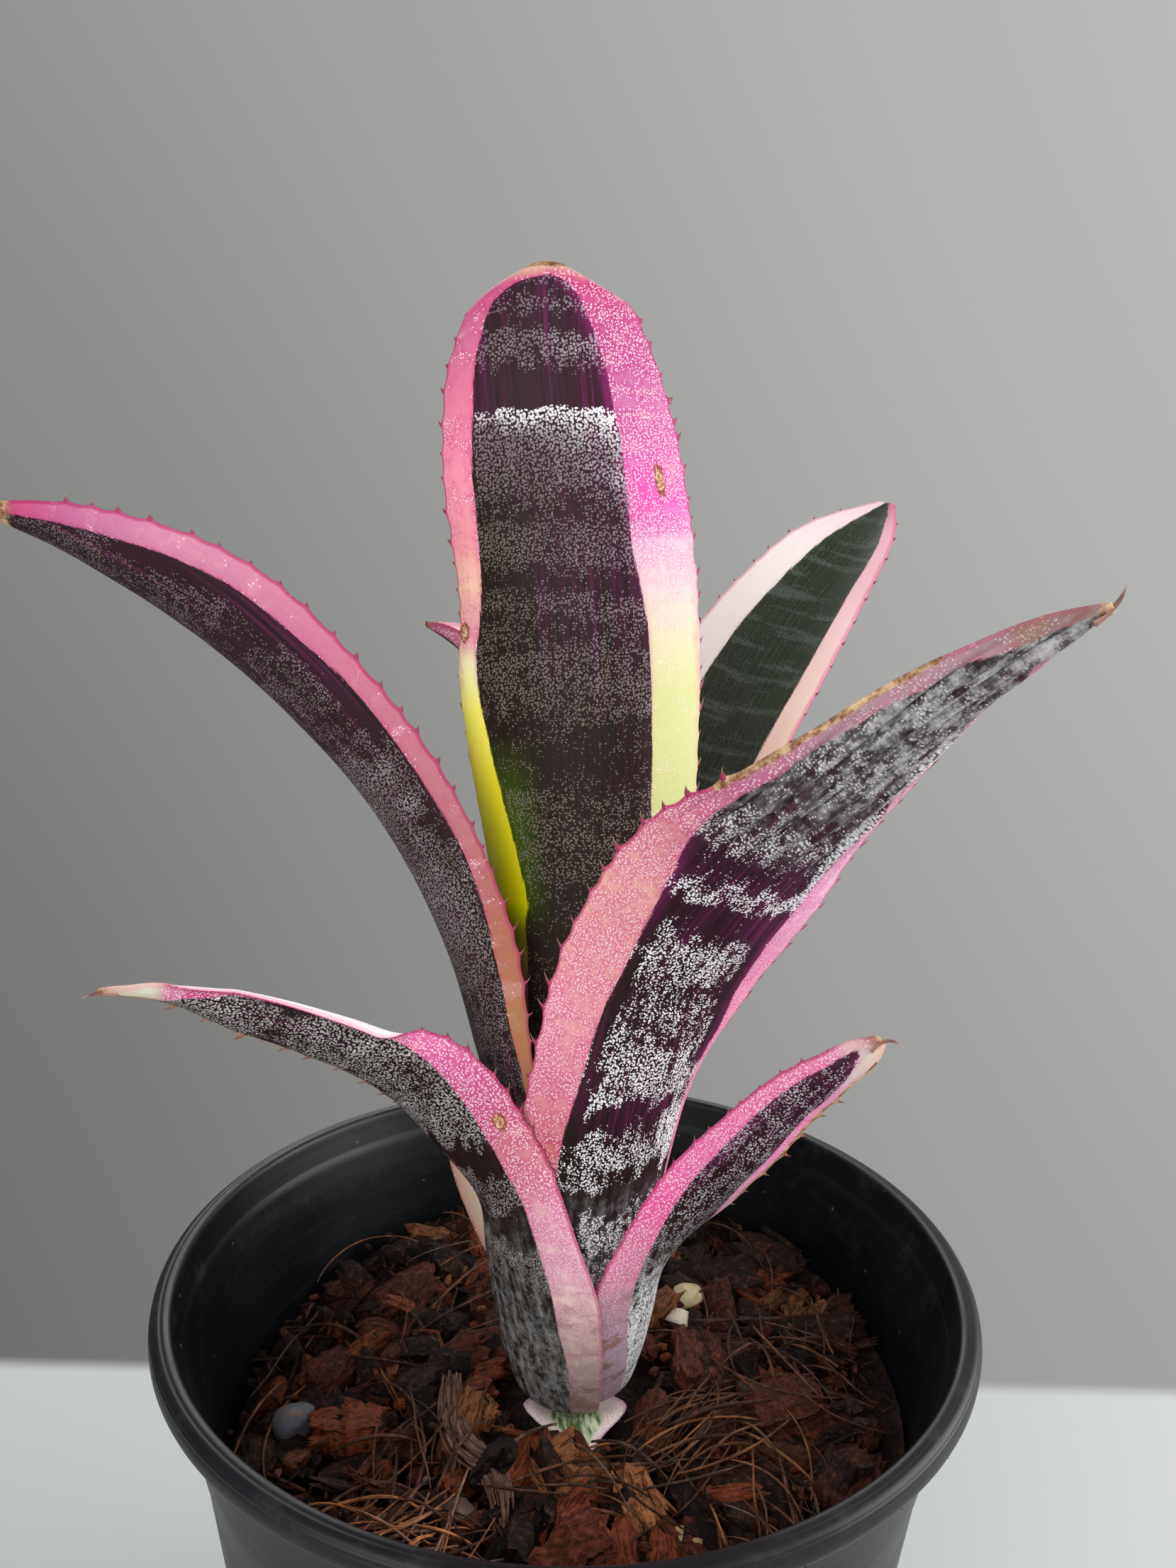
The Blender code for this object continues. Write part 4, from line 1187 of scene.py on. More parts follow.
def leaf_ends(rows, columns):
    """Faces that close the two ends of a leaf's tube of points."""
    sides = 2 * columns + 2
    quads, triangles = [], []
    for start, step in ((0, -1), ((rows - 1) * sides, 1)):
        for j in range(columns - 1):
            back = start + 2 * columns - j
            quads.append([start + j, start + j + 1, back - 1, back][::step])
        for corner in ([columns - 1, columns, columns + 1], [2 * columns, 2 * columns + 1, 0]):
            triangles.append([start + point for point in corner][::step])
    return quads, triangles


def round_section(values, lining=None):
    """Spreads values that are known over the sheet round its closed section."""
    lining = values if lining is None else lining
    ring = np.concatenate([values, values[:, -1:], lining[:, ::-1], values[:, :1]], axis=1)
    return ring.reshape(-1, 3)


def stretch(where, begin, full, still, end):
    """1 from full to still, fading to 0 at begin and end."""
    return ease(where, begin, full) * (1 - ease(where, still, end))


class Blade:
    """One leaf's middle surface: a grid of rows along it and columns across it."""

    def __init__(self, look, number):
        self.look = look
        self.number = number
        self.sheet, self.share, self.v, self.length, width = leaf_sheet(look["stations"], look["narrow"])
        self.rows, self.columns = self.sheet.shape[:2]
        self.width = width[:, None]
        self.edge = (1 - np.abs(self.v))[None, :] * self.width
        self.across = self.v[None, :] * self.width
        self.u = np.repeat(self.share[:, None], self.columns, axis=1)
        self.side = self.v[None, :] + 0 * self.u

    def swell(self, height):
        """Lifts each point by its height, towards the outer face."""
        self.sheet = self.sheet + outward(self.sheet) * height[..., None]

    def shape(self):
        """Folds, swells, flares and rolls the sheet."""
        look, u, across, edge = self.look, self.u, self.across, self.edge
        if look["crease"]:
            # Lengthwise folds where the blade narrows and droops.
            deep = look["crease"] * ease(u, 0.6, 0.75) * (1 - ease(u, 0.95, 1.0)) * ease(edge, 0.5, 4.0)
            fold = np.sin(across * 1.5 + 2.5 * np.sin(u * 9)) + 0.5 * np.sin(across * 2.9 + 14 * u)
            self.swell(deep * fold)
        self.swell(0.12 * ripple(self.sheet, 14.0, self.number) * ease(edge, 0.0, 3.0) * ease(u, 0.25, 0.4))
        for *shares, side, amount in look["flare"]:
            # A margin that turns out past the trough's own curve.
            near = ease(side * self.v, 0.45, 1.0)[None, :]
            turned_out = near * stretch(self.share, *shares)[:, None] * amount
            margin = self.sheet[:, self.columns - 1 if side > 0 else 0]
            past = 0.8 * unit(margin - self.sheet[:, self.columns // 2])
            way = unit(outward(self.sheet)[:, self.columns - 1 if side > 0 else 0] + past)
            self.sheet = self.sheet + way[:, None] * turned_out[..., None]
        if look["rolled"]:
            self.sheet = roll_margin(self.sheet, self.share, self.v, self.width[:, 0], *look["rolled"])

    def spine_roots(self, rng):
        """Row, column, side, way out and size of each spine; the margin swells a little under it."""
        roots = []
        for side, (spacing, size, first, last) in self.look["spines"].items():
            column = self.columns - 1 if side > 0 else 0
            inner = self.columns - 3 if side > 0 else 2
            at = first * self.length
            while at < last * self.length:
                row = int(round(at / self.length * (self.rows - 1)))
                row = min(max(row, 1), self.rows - 2)
                grown = size * rng.uniform(0.7, 1.15) * (0.65 + 0.35 * ease(self.share[row], 0, 0.4))
                out = unit(self.sheet[row, column] - self.sheet[row, inner])
                roots.append((row, column, side, out, grown))
                away = (np.arange(self.rows) - row) * self.length / self.rows
                reach = np.exp(-((away / (0.75 * grown)) ** 2))
                near = np.exp(-self.edge / (1.1 * grown)) * (np.sign(self.v)[None, :] == side)
                self.sheet = self.sheet + out * (reach[:, None] * near * grown * 0.3)[..., None]
                at += spacing * rng.uniform(0.72, 1.25)
        return roots

    def section(self, normal):
        """Points of the closed section: outer face, left edge, inner face and right edge."""
        sheet = self.sheet
        thick = SHEATH_THICK + (BLADE_THICK - SHEATH_THICK) * ease(self.u, 0.25, 0.45)
        thick = np.minimum(thick, EDGE_THICK + self.edge * EDGE_TAPER)
        thick = thick * (1 - 0.5 * ease(self.u, 0.96, 1.0))
        outer = sheet + normal * thick[..., None] / 2
        inner = sheet - normal * thick[..., None] / 2
        left = sheet[:, -1] + unit(sheet[:, -1] - sheet[:, -2]) * EDGE_ROUNDING
        right = sheet[:, 0] + unit(sheet[:, 0] - sheet[:, 1]) * EDGE_ROUNDING
        return np.concatenate([outer, left[:, None], inner[:, ::-1], right[:, None]], axis=1)

    def silver(self, moved, left, right, inside):
        """How thickly the silver scales lie."""
        silver = curve(self.look["silver"], moved)
        for side, amount in self.look["smooth"].items():
            silver = silver - amount * ((inside < 0) & (side * self.side > 0))
        for side, *shares, reach, change in self.look["bare"]:
            gap = (left - self.side if side > 0 else self.side - right) * self.width
            beside = 1 - ease(gap, 0.4 * reach, reach)
            silver = silver + change * stretch(moved, *shares) * beside * (inside > 0)
        return np.clip(silver, -1, 1)

    def dryness(self):
        """How dead the leaf is."""
        dry = curve(self.look["dry"], self.u)
        for side, *shares, first, amount in self.look["dry_edges"]:
            dead = ease(side * self.side, first, first + 0.08)
            dry = np.maximum(dry, amount * stretch(self.u, *shares) * dead)
        return dry

    def wounds(self):
        """Distance from the nearest wound, as a share of its own size."""
        far = np.full_like(self.u, 9.0)
        for share, side, half_long, half_wide in self.look["wounds"]:
            along = (self.u - share) * self.length / half_long
            across = (self.side - side) * self.width / half_wide
            far = np.minimum(far, np.hypot(along, across))
        return far

    def layers(self):
        """What the leaf's paints read at each point of its closed section."""
        look, u, side = self.look, self.u, self.side
        flat = np.stack([u * self.length * 0.4, self.across, np.full_like(u, self.number * 9.0)], -1)
        ragged = look["warp"] * ripple(flat, 3.0, self.number, 4)
        moved = u + (look["bow"] * (1 - side**2) + look["slant"] * side + ragged) / self.length
        left, right = curve(look["zone_left"], u), curve(look["zone_right"], u)
        inside = np.minimum(left - side, side - right) * self.width
        # How white the scales are, with a painted highlight that fades towards the left, away from the
        # light.
        whiteness_and_glint = np.clip(curve(look["whiteness_and_glint"], moved) - look["glint_side"] * side, 0, 1)
        purple = np.clip(curve(look["purple"], u) - look["purple_side"] * side, 0, 1)
        glow = curve(look["glow"], u) * ease(side, 0.25, 0.6)
        place = (u * self.length, self.across, np.full_like(u, float(self.number)))
        zone = (inside, self.silver(moved, left, right, inside), self.dryness())
        mark = (self.wounds(), self.edge, glow)
        kind = (whiteness_and_glint, purple, curve(look["frost"], u))
        layers = {"place": place, "zone": zone, "mark": mark, "kind": kind}
        layers = {name: round_section(np.stack(parts, -1)) for name, parts in layers.items()}
        margin, lining = (
            np.where(side[..., None] > 0, curve(look[one], u), curve(look[other] or look[one], u))
            for one, other in (("edge_left", "edge_right"), ("lining", "lining_right"))
        )
        layers["tint"] = round_section(margin, lining)
        return layers


def leaf_piece(name, look, number, paints):
    """One leaf, with its spines and its withered tip."""
    rng = np.random.default_rng(LEAF_SEED + number)
    blade = Blade({**PLAIN_LEAF, **look}, number)
    blade.shape()
    roots = blade.spine_roots(rng)
    normal = outward(blade.sheet)
    ring = blade.section(normal)
    rows, sides = ring.shape[:2]
    skin = band(rows, sides)
    column = skin[:, 0] % sides
    skin_paint = np.where((column >= blade.columns) & (column < 2 * blade.columns), LINING, OUTER)
    ends = leaf_ends(rows, blade.columns)
    end_paints = [np.full(len(block), OUTER) for block in ends]
    shell = Shell("place", "zone", "mark", "kind", "tint")
    shell.add(ring.reshape(-1, 3), [skin, *ends], [skin_paint, *end_paints], **blade.layers())

    along = unit(np.gradient(blade.sheet, axis=0))
    for row, column, side, out, grown in roots:
        colours = SPINE_COLOURS
        if side == blade.look["old_side"]:
            # Withered hooks, which have curled over the outer face.
            colours = OLD_SPINE_COLOURS
            out = unit(out + 0.9 * normal[row, column])
        size = grown * rng.uniform(0.85, 1.15)
        lean = rng.uniform(0.45, 0.95)
        root, ahead, face = blade.sheet[row, column], along[row, column], normal[row, column]
        spine(shell, root, out, ahead, face, size, lean, colours)
    if blade.look["tip"]:
        dry_tip(shell, blade.sheet, along, *blade.look["tip"])
    return shell.build(name + "_look", paints, [name])


# --------------------------------------------------------------- the potting
#
# Pot, settled bark and what lies on it, in millimetres.

POT_HEIGHT = 125.0
RIM_RADIUS = 75.0
RIM_INNER_RADIUS = 71.1
POT_FOOT_RADIUS = 53.0
POT_FLOOR = 2.5
FLOOR_RADIUS = POT_FOOT_RADIUS - 1.2
WALL_TOP_RADIUS = 66.9
STEP_HEIGHT = 100.0
STEP_RADIUS = 65.6
COLLAR_HEIGHT = 112.0
COLLAR_RADIUS = 67.9
BED_FLOOR = 2.8
BED_HEIGHT = 94.5
BED_SLOPE_X = 0.06
BED_SLOPE_Y = 0.12
BED_EDGE_DROP = 2.0
BED_SINK = 0.8
BED_RADIUS = 64.0
BED_REACH = 65.0
WALL_GAP = 0.8
STEM_RADIUS = 4.1
STEM_FOOT = 80.5
STEM_GAP = 0.3
SHEATH_REACH = 13.5
POT_SIDES = 256
BURR_RADIUS = RIM_RADIUS - 0.4
BURR_HEIGHT = POT_HEIGHT - 4.45


def bed_height(x, y):
    """The level of the settled mix: highest at the back right, and lower along the wall."""
    edge = np.minimum(1.0, np.hypot(x, y) / BED_RADIUS)
    return BED_HEIGHT + BED_SLOPE_X * x + BED_SLOPE_Y * y - BED_EDGE_DROP * edge**2


def wall_inside(height):
    """Inside radius of the pot."""
    heights = [POT_FLOOR, STEP_HEIGHT, COLLAR_HEIGHT, POT_HEIGHT - 6.0, POT_HEIGHT]
    radii = [FLOOR_RADIUS, STEP_RADIUS, COLLAR_RADIUS, 69.9, RIM_INNER_RADIUS]
    return np.interp(height, heights, radii)


def plastic_paint():
    """Black moulded plastic with faint sweeps, and dust that is thicker towards the rim."""
    paint = Paint("pot_plastic", Specular_IOR_Level=0.3)
    spot = paint.spot()
    x, y, z = spot.split()
    height = z * (1 / MM)
    fine = paint.noise(spot, 900.0, 3.0, 0.6)
    broad = paint.noise(spot, 45.0, 3.0, 0.55)
    sweep = paint.grain((x * 60.0, y * 60.0, z * 900.0), 3.0)
    colour = broad.step(0.3, 0.7).pick(tone(8, 10, 14), tone(16, 18, 22))
    colour = (sweep.step(0.5, 0.8) * 0.3).pick(colour, tone(30, 32, 34))
    specks = paint.node("VectorMath", {"operation": "SCALE"}, {0: spot, 3: 620.0})
    distance, number = paint.cells(specks, flat=False)
    upper = height.step(98.0, 124.0)
    dust = (0.2 - distance).step(-0.05, 0.06) * (number < 0.02) * (0.25 + 0.75 * upper)
    colour = (dust * 0.55).pick(colour, tone(120, 120, 116))
    haze = paint.noise(spot, 120.0, 4.0, 0.7).step(0.52, 0.75) * 0.1 * upper
    colour = haze.pick(colour, tone(110, 112, 112))
    rough = 0.4 + 0.2 * (broad - 0.5) + 0.18 * (sweep - 0.5) + dust * 0.3 + haze
    relief = fine * 0.35 + sweep * 0.5 + dust * 0.6
    return paint.finish(Base_Color=colour, Roughness=rough, Normal=paint.bump(relief, 0.06, 0.55))


def pot_profile():
    """Radius and height, from the underside's centre round to the inside floor's centre."""
    top = POT_HEIGHT
    profile = [(POT_FOOT_RADIUS - 12, 0.9), (POT_FOOT_RADIUS - 10.8, 0.0), (POT_FOOT_RADIUS - 1.4, 0.0)]
    profile += [(POT_FOOT_RADIUS - 0.5, 0.25), (POT_FOOT_RADIUS - 0.05, 1.0)]
    wall = STEP_HEIGHT - 1.0
    for k in range(1, 24):
        rise = k * wall / 23
        profile.append((POT_FOOT_RADIUS + (WALL_TOP_RADIUS - POT_FOOT_RADIUS) * rise / wall, 1.0 + rise))
    # Collar under the rim.
    profile += [(67.3, 101.0), (67.9, 104.5), (68.5, 108.0), (69.2, 112.0), (70.2, 116.0), (71.0, 118.6)]
    # Round the rolled rim, from its underside over the lip: radius, and depth below the top.
    rim = [(71.25, 5.7), (71.5, 5.35), (72.3, 5.1), (73.4, 4.9), (74.2, 4.6), (74.72, 4.1), (74.95, 3.5)]
    rim += [(RIM_RADIUS, 2.9), (74.96, 2.2), (74.84, 1.7), (74.72, 1.5), (74.78, 1.32), (74.66, 1.05)]
    rim += [(74.5, 0.92), (74.5, 0.78), (74.3, 0.55), (74.0, 0.3), (73.6, 0.12), (73.2, 0.06)]
    rim += [(73.0, 0.12), (72.8, 0.03), (72.4, 0), (72.0, 0.04), (71.6, 0.2), (71.3, 0.5), (71.12, 1.0)]
    rim += [(70.95, 1.8), (70.6, 3.2), (70.2, 4.6), (69.95, 5.6), (69.8, 6.1), (69.55, 6.5), (69.2, 8.0)]
    rim += [(68.4, 11.0)]
    profile += [(radius, top - depth) for radius, depth in rim]
    # Down the inside wall.
    collar = (COLLAR_RADIUS - STEP_RADIUS) / (COLLAR_HEIGHT - STEP_HEIGHT)
    for height in np.linspace(111.5, 100.5, 6):
        profile.append((STEP_RADIUS + collar * (height - STEP_HEIGHT), height))
    taper = (STEP_RADIUS - FLOOR_RADIUS) / (STEP_HEIGHT - POT_FLOOR)
    for height in np.linspace(98.0, 3.6, 16):
        profile.append((FLOOR_RADIUS + taper * (height - POT_FLOOR), height))
    profile += [(FLOOR_RADIUS - 0.4, 2.7), (FLOOR_RADIUS - 1.2, POT_FLOOR)]
    return np.array(profile)


def pot_piece(paint):
    profile = pot_profile()
    angle = turned(POT_SIDES)
    # Moulding ripple: the rim is not perfectly round, nor its lip perfectly level.
    out = 1 + 0.0008 * np.sin(3 * angle + 1.0) + 0.0004 * np.sin(7 * angle)
    level = 0.14 * np.sin(2 * angle + 0.6) + 0.05 * np.sin(5 * angle)
    rise = ease(profile[:, 1], STEP_HEIGHT, POT_HEIGHT)
    ring_radius = profile[:, :1] * (1 + rise[:, None] * (out - 1)[None, :])
    x = ring_radius * np.cos(angle)
    y = ring_radius * np.sin(angle)
    z = profile[:, 1:] + rise[:, None] * (level[None, :] - 0.1)
    points = np.stack([x, y, z], -1).reshape(-1, 3)
    points = np.concatenate([points, [[0, 0, profile[0, 1]], [0, 0, POT_FLOOR]]])
    shell = Shell()
    shell.add(points, tube(len(profile), POT_SIDES))
    rng = np.random.default_rng(11)
    # Burrs that the mould left on the lower edge of the rim.
    for spot in rng.uniform(-1.4, 0.6, 16):
        centre = np.array([BURR_RADIUS * math.cos(spot), BURR_RADIUS * math.sin(spot), BURR_HEIGHT])
        size = rng.uniform(0.12, 0.3)
        ring = [centre + size * np.array([0.2 * math.cos(a), math.cos(a), math.sin(a)]) for a in turned(5)]
        peak = centre + unit(centre * [1, 1, 0]) * size * 1.2 - np.array([0, 0, size])
        back = centre - unit(centre * [1, 1, 0]) * 0.4
        burr = np.concatenate([fan(5, range(5)), fan(6, range(5), True)])
        shell.add(ring + [peak, back], [burr])
    return shell.build("pot_look", [paint], ["pot"])


# ---- bark


def bark_paint(name, roughness, grain_depth):
    """Bark or fibre, coloured point by point, with its grain along each bit."""
    paint = Paint(name, Specular_IOR_Level=0.25)
    along, across, lift = paint.layer("place").split()
    colour = paint.layer("tint")
    fibres = paint.grain((along * 0.22, across * 2.1, lift * 2.1), 4.0, 0.65, 0.4)
    flakes = paint.grain((along * 0.7, across * 0.9, lift * 0.9), 4.0, 0.7)
    grit = paint.grain((along * 3.2, across * 3.2, lift * 3.2), 2.0)
    # Painted shade in the grooves of the grain, and painted light on the raised flakes.
    deep = paint.blend_colours("MULTIPLY", colour, (0.16, 0.12, 0.11))
    light = paint.blend_colours("SCREEN", colour, tone(170, 108, 76), 0.3)
    shaded = (fibres + (flakes - 0.5) * 0.5).step(0.3, 0.62).pick(deep, colour)
    shaded = ((flakes + (grit - 0.5) * 0.5).step(0.5, 0.75) * 0.7).pick(shaded, light)
    relief = fibres + flakes * 0.8 + grit * 0.35
    return paint.finish(
        Base_Color=shaded,
        Roughness=roughness + 0.2 * (grit - 0.5),
        Normal=paint.bump(relief, grain_depth, 0.9),
    )


def soil_paint():
    """The fine mix under the chips, dark and painted darker still: painted shade in the gaps between the
    chips.
    """
    paint = Paint("bark_mix", Specular_IOR_Level=0.2)
    spot = paint.spot()
    lumps = paint.noise(spot, 330.0, 4.0, 0.65)
    crumbs = paint.noise(spot, 1100.0, 3.0, 0.6)
    strands = paint.noise(spot, 240.0, 3.0, 0.6, 2.5)
    colour = lumps.step(0.35, 0.65).pick(tone(5, 2, 2), tone(26, 12, 8))
    colour = (crumbs.step(0.5, 0.72) * 0.6).pick(colour, tone(46, 24, 16))
    colour = ((1 - (strands - 0.5).size().step(0.0, 0.03)) * 0.5).pick(colour, tone(78, 54, 40))
    relief = lumps + crumbs * 0.4
    return paint.finish(
        Base_Color=colour,
        Roughness=0.82 + 0.2 * (crumbs - 0.5),
        Normal=paint.bump(relief, 0.6, 0.9),
    )


def stone_paint():
    paint = Paint("stone", Specular_IOR_Level=0.35)
    spot = paint.spot()
    colour = paint.layer("tint")
    patches = paint.noise(spot, 420.0, 4.0, 0.6)
    grit = paint.noise(spot, 2300.0, 3.0, 0.6)
    stained = (patches.step(0.45, 0.7) * 0.5).pick(colour, tone(150, 110, 60))
    stained = (grit.step(0.52, 0.75) * 0.35).pick(stained, tone(90, 78, 66))
    return paint.finish(
        Base_Color=stained,
        Roughness=0.6 + 0.25 * (grit - 0.5),
        Normal=paint.bump(patches + grit * 0.5, 0.2, 0.8),
    )


def bed_piece(paint):
    """The settled mix: a crumbly top over a plain body that fills the pot."""
    sides = 220
    pocket = STEM_RADIUS + 0.35
    radii = np.concatenate([[pocket, pocket], np.linspace(5.5, BED_REACH, 66)])
    angle = turned(sides)
    points = []
    for k, radius in enumerate(radii):
        # The rings shift from the stem's axis at the pocket to the pot's at the wall.
        x = AXIS_X * (1 - radius / (BED_REACH + 1)) + radius * np.cos(angle)
        y = radius * np.sin(angle)
        level = bed_height(x, y)
        far = np.minimum(radius, wall_inside(level) - WALL_GAP)
        x, y = x * far / radius, y * far / radius
        flat = np.stack([x, y, level], -1)
        rough = 1.1 * ripple(flat, 5.0, 3, 3) + 0.5 * ripple(flat, 1.6, 4, 2)
        level = level + rough * ease(radius, pocket, 8.0) - BED_SINK
        if k == 0:
            level = np.full(sides, STEM_FOOT - STEM_GAP)
        points.append(np.stack([x, y, level], -1))
    for height in (70.0, 40.0, 12.0, BED_FLOOR):
        radius = wall_inside(height) - WALL_GAP
        x, y = radius * np.cos(angle), radius * np.sin(angle)
        points.append(np.stack([x, y, np.full(sides, height)], -1))
    rings = len(points)
    points.append(np.array([[AXIS_X, AXIS_Y, STEM_FOOT - STEM_GAP], [0, 0, BED_FLOOR]]))
    shell = Shell()
    shell.add(np.concatenate(points), tube(rings, sides))
    return shell.build("settled_bark", [paint], ["bark_bed"])


LARGE_CHIP_LIGHT = 1.14
# LITTER_SHADE darkens the crumbs and slivers that lie between the chips: painted shade in the gaps.
LITTER_SHADE = 0.75
LITTER_REACH = 63.5

BARK_TONES = {
    "red": tone(88, 40, 26),
    "orange": tone(136, 66, 36),
    "brown": tone(48, 26, 19),
    "dark": tone(21, 12, 10),
    "tan": tone(160, 102, 62),
    "grey": tone(64, 49, 44),
}


def any_bark(rng, odds):
    """The colour of a random kind of bark, by the odds of each in the order of BARK_TONES."""
    return BARK_TONES[list(BARK_TONES)[rng.choice(len(BARK_TONES), p=odds)]]


def any_spot(rng, reach, least):
    """A random spot within reach; least is the share of that round area kept free in its middle."""
    radius = reach * math.sqrt(rng.uniform(least, 1))
    direction = rng.uniform(0, FULL_TURN)
    return radius * math.cos(direction), radius * math.sin(direction)


def add_block(shell, rng, centre, frame_of, size, colour, ragged, sides, rings):
    """A split piece of bark: long ridges, torn ends and uneven faces.

    frame_of gives its directions ahead, aside and up, and size its measure along each of them.
    """
    angle = turned(sides) + rng.uniform(0, 1)
    power = rng.uniform(0.5, 0.85)
    section_x = np.sign(np.cos(angle)) * np.abs(np.cos(angle)) ** power
    section_y = np.sign(np.sin(angle)) * np.abs(np.sin(angle)) ** power
    ridge = 1 + rng.normal(0, 0.07, sides) * ragged
    torn = rng.normal(0, 0.05, (2, sides)) * ragged
    drift = rng.normal(0, 0.06, (rings, 2)).cumsum(axis=0) * 0.5
    drift -= drift.mean(axis=0)
    skew = rng.uniform(-0.2, 0.2, 2)
    points = []
    for k, s in enumerate(np.linspace(-0.5, 0.5, rings)):
        end = abs(2 * s) ** 4
        shrink = (1 - 0.24 * end) * (1 + rng.normal(0, 0.035))
        bumps = ridge * (1 + rng.normal(0, 0.025, sides) * ragged)
        a = s + torn[0 if s < 0 else 1] * end + 0.1 * end * np.sign(s) * rng.normal(0, 0.3, sides) * ragged
        b = (section_x * bumps * shrink / 2 + drift[k, 0]) + skew[0] * s
        c = (section_y * bumps * shrink / 2 + drift[k, 1]) + skew[1] * s
        points.append(np.stack([a * size[0], b * size[1], c * size[2]], -1))
    dent = np.array([size[0] * 0.05, 0, 0])
    ends = np.array([points[0].mean(axis=0) + dent, points[-1].mean(axis=0) - dent])
    local = np.concatenate(points + [ends])
    tint = colour * (1 + 0.12 * rng.normal(0, 1, (len(local), 1)).clip(-1.5, 1.5) * 0.5)
    place = local + rng.uniform(0, 90, 3)
    shell.add(centre + local @ np.stack(frame_of), tube(rings, sides), place=place, tint=tint)


def tilted_frame(rng, turn, tilt):
    """Directions ahead, aside and up of something that lies on the bed."""
    up = unit(np.array([-BED_SLOPE_X + rng.normal(0, tilt), -BED_SLOPE_Y + rng.normal(0, tilt), 1.0]))
    ahead = np.array([math.cos(turn), math.sin(turn), 0.0])
    ahead = unit(ahead - up * (ahead @ up))
    return ahead, np.cross(up, ahead), up


# Each chip and stone: its spot, its size, its turn in degrees and its colour.
CHIPS = {
    "chip_01": ((-40, -10), (13, 8, 6), 15, "orange"),
    "chip_02": ((-47, 4), (11, 8, 6), 70, "red"),
    "chip_03": ((-15.5, -7), (6, 5, 4.5), 40, "tan"),
    "chip_04": ((13, -27), (12, 7, 5), 110, "tan"),
    "chip_05": ((26, 4), (14, 10, 6), 80, "red"),
    "chip_06": ((42, -8), (13, 10, 6), 20, "red"),
    "chip_07": ((50, -24), (12, 9, 6), 60, "red"),
    "chip_08": ((2, -38), (14, 11, 7), 30, "red"),
    "chip_09": ((-9, -50), (12, 9, 6), 150, "brown"),
    "chip_10": ((-35, 26), (13, 9, 6), 35, "red"),
    "chip_11": ((-18, 42), (13, 9, 7), 95, "orange"),
    "chip_12": ((8, 48), (14, 10, 6), 10, "red"),
    "chip_13": ((44, 34), (13, 10, 6), 130, "brown"),
    "chip_14": ((28, -44), (13, 9, 6), 165, "red"),
    "chip_15": ((-36, -36), (13, 9, 6), 55, "brown"),
    "chip_16": ((-56, -14), (10, 7, 5), 100, "brown"),
}

STONES = {
    "stone_grey": ((-51, -7.5), (8.5, 7, 6), 25, tone(84, 88, 96)),
    "stone_pale_01": ((25, 22), (7, 6, 5), 10, tone(206, 190, 148)),
    "stone_pale_02": ((23, 15.5), (6, 5, 4), 60, tone(214, 206, 186)),
    "stone_yellow": ((21, -34), (7, 5, 4), 0, tone(206, 178, 118)),
    "stone_round": ((-17.5, -29), (6, 6, 5.5), 0, tone(76, 64, 58)),
}

# The way that each long strand takes over the bed.
ROUTES = {
    "bark_strip": [(-22, 1), (-21, -8), (-18.5, -16), (-12.5, -22), (-9.5, -34)],
    "fibre_01": [(-34, -21), (-28, -24), (-23.5, -32), (-22, -42)],
    "fibre_02": [(20, -18), (28, -19), (37, -23), (42, -31)],
    "fibre_03": [(37, 8), (45, 14), (52, 20), (54, 29)],
}


def clear_of_strip(x, y, margin):
    """Whether a chip would leave the long strip of inner bark in sight."""
    route = np.array(ROUTES["bark_strip"], float)
    start, ahead = route[:-1], np.diff(route, axis=0)
    share = np.clip(((np.array([x, y]) - start) * ahead).sum(axis=1) / (ahead**2).sum(axis=1), 0, 1)
    return np.linalg.norm(start + ahead * share[:, None] - [x, y], axis=1).min() > margin


def painted_light_and_shade(x, y):
    """Painted light and shade on the mix: painted shade towards the wall and the back, where the pot wall
    and the plant shade it, and a painted pool of light in front of the stem.
    """
    bright = 1.3 * math.exp(-(((x - 6) / 30) ** 2) - ((y + 34) / 22) ** 2)
    by_wall = 1 - 0.42 * ease(np.hypot(x, y), 34.0, 62.0) * (1 - 0.8 * bright)
    at_back = 1 - 0.2 * ease(y, -5.0, 35.0)
    return (0.78 + 0.42 * bright) * by_wall * at_back


def large_chips(paint):
    """The chips that the part has, each with a few slivers."""
    rng = np.random.default_rng(21)
    shell = Shell("place", "tint")
    for (x, y), size, turn, colour in CHIPS.values():
        ahead, aside, up = tilted_frame(rng, math.radians(turn), 0.06)
        centre = np.array([x, y, bed_height(x, y) + size[2] * 0.5 + 0.2])
        shade = BARK_TONES[colour] * painted_light_and_shade(x, y) * LARGE_CHIP_LIGHT
        add_block(shell, rng, centre, (ahead, aside, up), size, shade, 1.1, 30, 14)
        for _ in range(3):
            # Slivers that have split away from its sides.
            shift = ahead * rng.uniform(-0.2, 0.2) * size[0] + aside * rng.choice([-1, 1]) * size[1] * 0.42
            lift = up * rng.uniform(-0.1, 0.45) * size[2]
            tilt = unit(ahead + aside * rng.normal(0, 0.12) + up * rng.normal(0, 0.1))
            sliver_side = unit(np.cross(up, tilt))
            sliver_frame = (tilt, sliver_side, np.cross(tilt, sliver_side))
            sliver = (size[0] * rng.uniform(0.5, 0.95), rng.uniform(0.8, 1.8), rng.uniform(0.6, 1.4))
            sliver_shade = shade * rng.uniform(0.8, 1.3)
            add_block(shell, rng, centre + shift + lift, sliver_frame, sliver, sliver_shade, 1.6, 9, 7)
    return shell.build("large_chips", [paint], list(CHIPS), rounded=False)


def clear_of_stem(x, y, margin):
    """Whether something stays clear of the sheaths round the stem."""
    return math.hypot(x - AXIS_X, y - AXIS_Y) > SHEATH_REACH + margin


